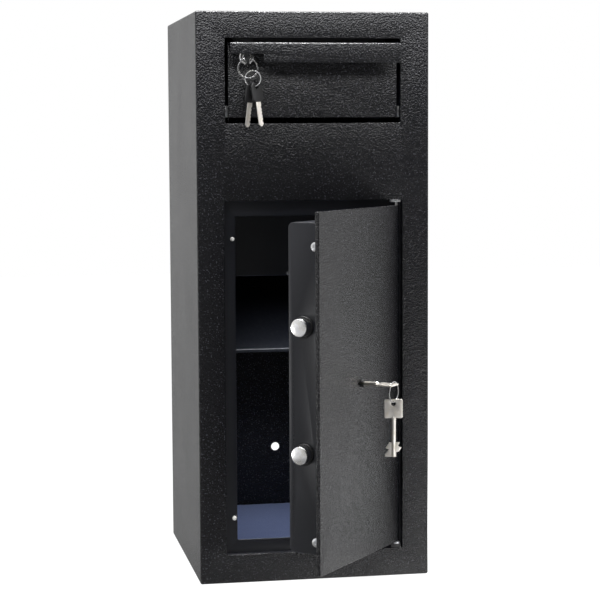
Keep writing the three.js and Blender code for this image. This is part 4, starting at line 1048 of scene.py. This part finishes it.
for build in (
    cabinet_wrap, front_plate, back_panel, door_rebate, baffle_plate, deflector_plate, vault_floor, felt_mat,
    door_buffers, door_plate, lock_case, locking_bolts, case_screws, vault_keys, key_rings, drawer_keys,
    cam_lock, eased_pieces, finish_the_rest,
):
    build()


# Floor, backdrop and light

FLOOR_HALF = 6.0
FLOOR_SHADOW_SHARE = 0.12
FLOOR_PAPER_LEVEL = 1.12
FLOOR_SPAN = 6.4
# How bright the floor is in reflections, from 3.2 m in front of the object (0) to 3.2 m behind it (1)
FLOOR_LEFT_LEVELS = ((0, 0.05), (0.12, 0.6), (0.42, 0.04), (0.52, 0.36), (0.7, 0.46), (1, 0.54))
FLOOR_RIGHT_LEVELS = ((0, 0.1), (0.12, 0.5), (0.42, 0.04), (0.52, 2.4), (0.64, 0.85), (1, 1.1))
FLOOR_FAR_LEFT_LEVEL = 0.56
FLOOR_SIDE_BLEND = 0.15
FLOOR_FAR_LEFT_SPAN = (-0.5, -0.9)
FLOOR_FAR_LEFT_DEPTH = (0.6, 0.2)
FLOOR_TONES = ((0.93, 0.93, 0.93), (0.96, 0.96, 0.96))
AMBIENT_LEVEL = 0.4
# How bright the room is in reflections, from straight ahead of the front (0) round to behind the back (1)
ROOM_LEVELS = ((0, 0.03), (0.1, 0.06), (0.25, 0.68), (0.5, 0.9), (0.7, 1.05), (0.96, 0.6))


def pale_floor():
    shape = bmesh.new()
    bmesh.ops.create_grid(shape, x_segments=1, y_segments=1, size=FLOOR_HALF)
    floor = linked("floor", mesh_of("floor", shape))
    material, tree, surface = new_material("pale_floor")
    tone = mix_colours(tree, noise_node(tree, object_place(tree), 40.0, 4.0), *FLOOR_TONES)
    feed(tree, surface, Base_Color=tone, Roughness=0.9)
    path = place_node(tree, "ShaderNodeLightPath").outputs
    depth = place_node(tree, "ShaderNodeSeparateXYZ", {0: object_place(tree)}).outputs["Y"]
    along = math_node(tree, "ADD", math_node(tree, "DIVIDE", depth, FLOOR_SPAN), 0.5)
    left, right = (ramp_colours(tree, along, grey_stops(levels))
                   for levels in (FLOOR_LEFT_LEVELS, FLOOR_RIGHT_LEVELS))
    sides = place_node(tree, "ShaderNodeSeparateXYZ", {0: object_place(tree)}).outputs["X"]
    lit = mix_colours(tree, ramp_node(tree, sides, -FLOOR_SIDE_BLEND, FLOOR_SIDE_BLEND), left, right)
    leftward = ramp_node(tree, sides, *FLOOR_FAR_LEFT_SPAN, 0.0, FLOOR_FAR_LEFT_LEVEL)
    far_left = math_node(tree, "MULTIPLY", leftward, ramp_node(tree, depth, *FLOOR_FAR_LEFT_DEPTH))
    shown = math_node(tree, "MULTIPLY", path["Is Camera Ray"], FLOOR_PAPER_LEVEL)
    level = math_node(tree, "MAXIMUM", math_node(tree, "MAXIMUM", lit, far_left), shown)
    paper = place_node(tree, "ShaderNodeEmission", {"Color": (1, 1, 1, 1), "Strength": level}).outputs[0]
    seen = math_node(tree, "MAXIMUM", path["Is Camera Ray"], path["Is Glossy Ray"])
    share = math_node(tree, "MULTIPLY", seen, 1 - FLOOR_SHADOW_SHARE)
    blend = place_node(tree, "ShaderNodeMixShader",
                       {0: share, 1: surface.outputs[0], 2: paper}).outputs[0]
    output = [node for node in tree.nodes if node.type == "OUTPUT_MATERIAL"][0]
    tree.links.new(blend, output.inputs[0])
    floor.data.materials.append(material)


def soft_lamp(name, place, target, size, power, spread=180, colour=(1, 1, 1)):
    data = bpy.data.lights.new(name, "AREA")
    data.spread = math.radians(spread)
    data.shape = "RECTANGLE"
    data.size, data.size_y = size
    data.energy = power
    data.color = colour
    lamp = bpy.data.objects.new(name, data)
    aim = (Vector(target) - Vector(place)).to_track_quat("-Z", "Y").to_matrix().to_4x4()
    lamp.matrix_world = Matrix.Translation(Vector(place)) @ aim
    lamp.visible_camera = False
    bpy.context.scene.collection.objects.link(lamp)


def studio_world():
    """White to the camera. Reflections find pale walls beside and behind, and a dim room in front."""
    world = bpy.data.worlds.new("studio")
    bpy.context.scene.world = world
    world.use_nodes = True
    tree = world.node_tree
    tree.nodes.clear()
    path = place_node(tree, "ShaderNodeLightPath").outputs
    heading = place_node(tree, "ShaderNodeTexCoord").outputs["Generated"]
    depth = place_node(tree, "ShaderNodeSeparateXYZ", {0: heading}).outputs["Y"]
    turn = place_node(tree, "ShaderNodeMapRange", {"Value": depth, "From Min": -1.0}).outputs["Result"]
    walls = ramp_colours(tree, turn, grey_stops(ROOM_LEVELS))
    seen = place_node(tree, "ShaderNodeBackground", {"Color": (1, 1, 1, 1), "Strength": 1.0}).outputs[0]
    mirrored = place_node(tree, "ShaderNodeBackground",
                          {"Color": (1, 1, 1, 1), "Strength": walls}).outputs[0]
    ambient = place_node(tree, "ShaderNodeBackground",
                         {"Color": (0.96, 0.98, 1, 1), "Strength": AMBIENT_LEVEL}).outputs[0]
    glossy = place_node(tree, "ShaderNodeMixShader",
                        {0: path["Is Glossy Ray"], 1: ambient, 2: mirrored}).outputs[0]
    shown = place_node(tree, "ShaderNodeMixShader",
                       {0: path["Is Camera Ray"], 1: glossy, 2: seen}).outputs[0]
    output = tree.nodes.new("ShaderNodeOutputWorld")
    tree.links.new(shown, output.inputs[0])


pale_floor()
studio_world()
soft_lamp("top_strip", (0.05, -0.55, 1.04), (0.05, -0.18, 0.92), (1.1, 0.12), 2.0, spread=120)
soft_lamp("overhead", (0, -0.3, 1.7), (0, -0.2, 0.8), (1.2, 0.16), 20, spread=100)
soft_lamp("right_low", (0.38, -0.8, 0.06), (0.15, -0.2, 0.12), (0.25, 0.06), 0.9)
soft_lamp("left_strip", (-1.3, -0.35, 0.1), (-0.06, -0.3, 0.15), (0.1, 0.32), 2.0)
soft_lamp("vault_lamp", (0.02, -0.13, 0.44), (-0.02, 0.06, 0.03), (0.16, 0.04), 0.28, spread=110,
          colour=(0.88, 0.93, 1))
bpy.context.scene.view_settings.view_transform = "Standard"
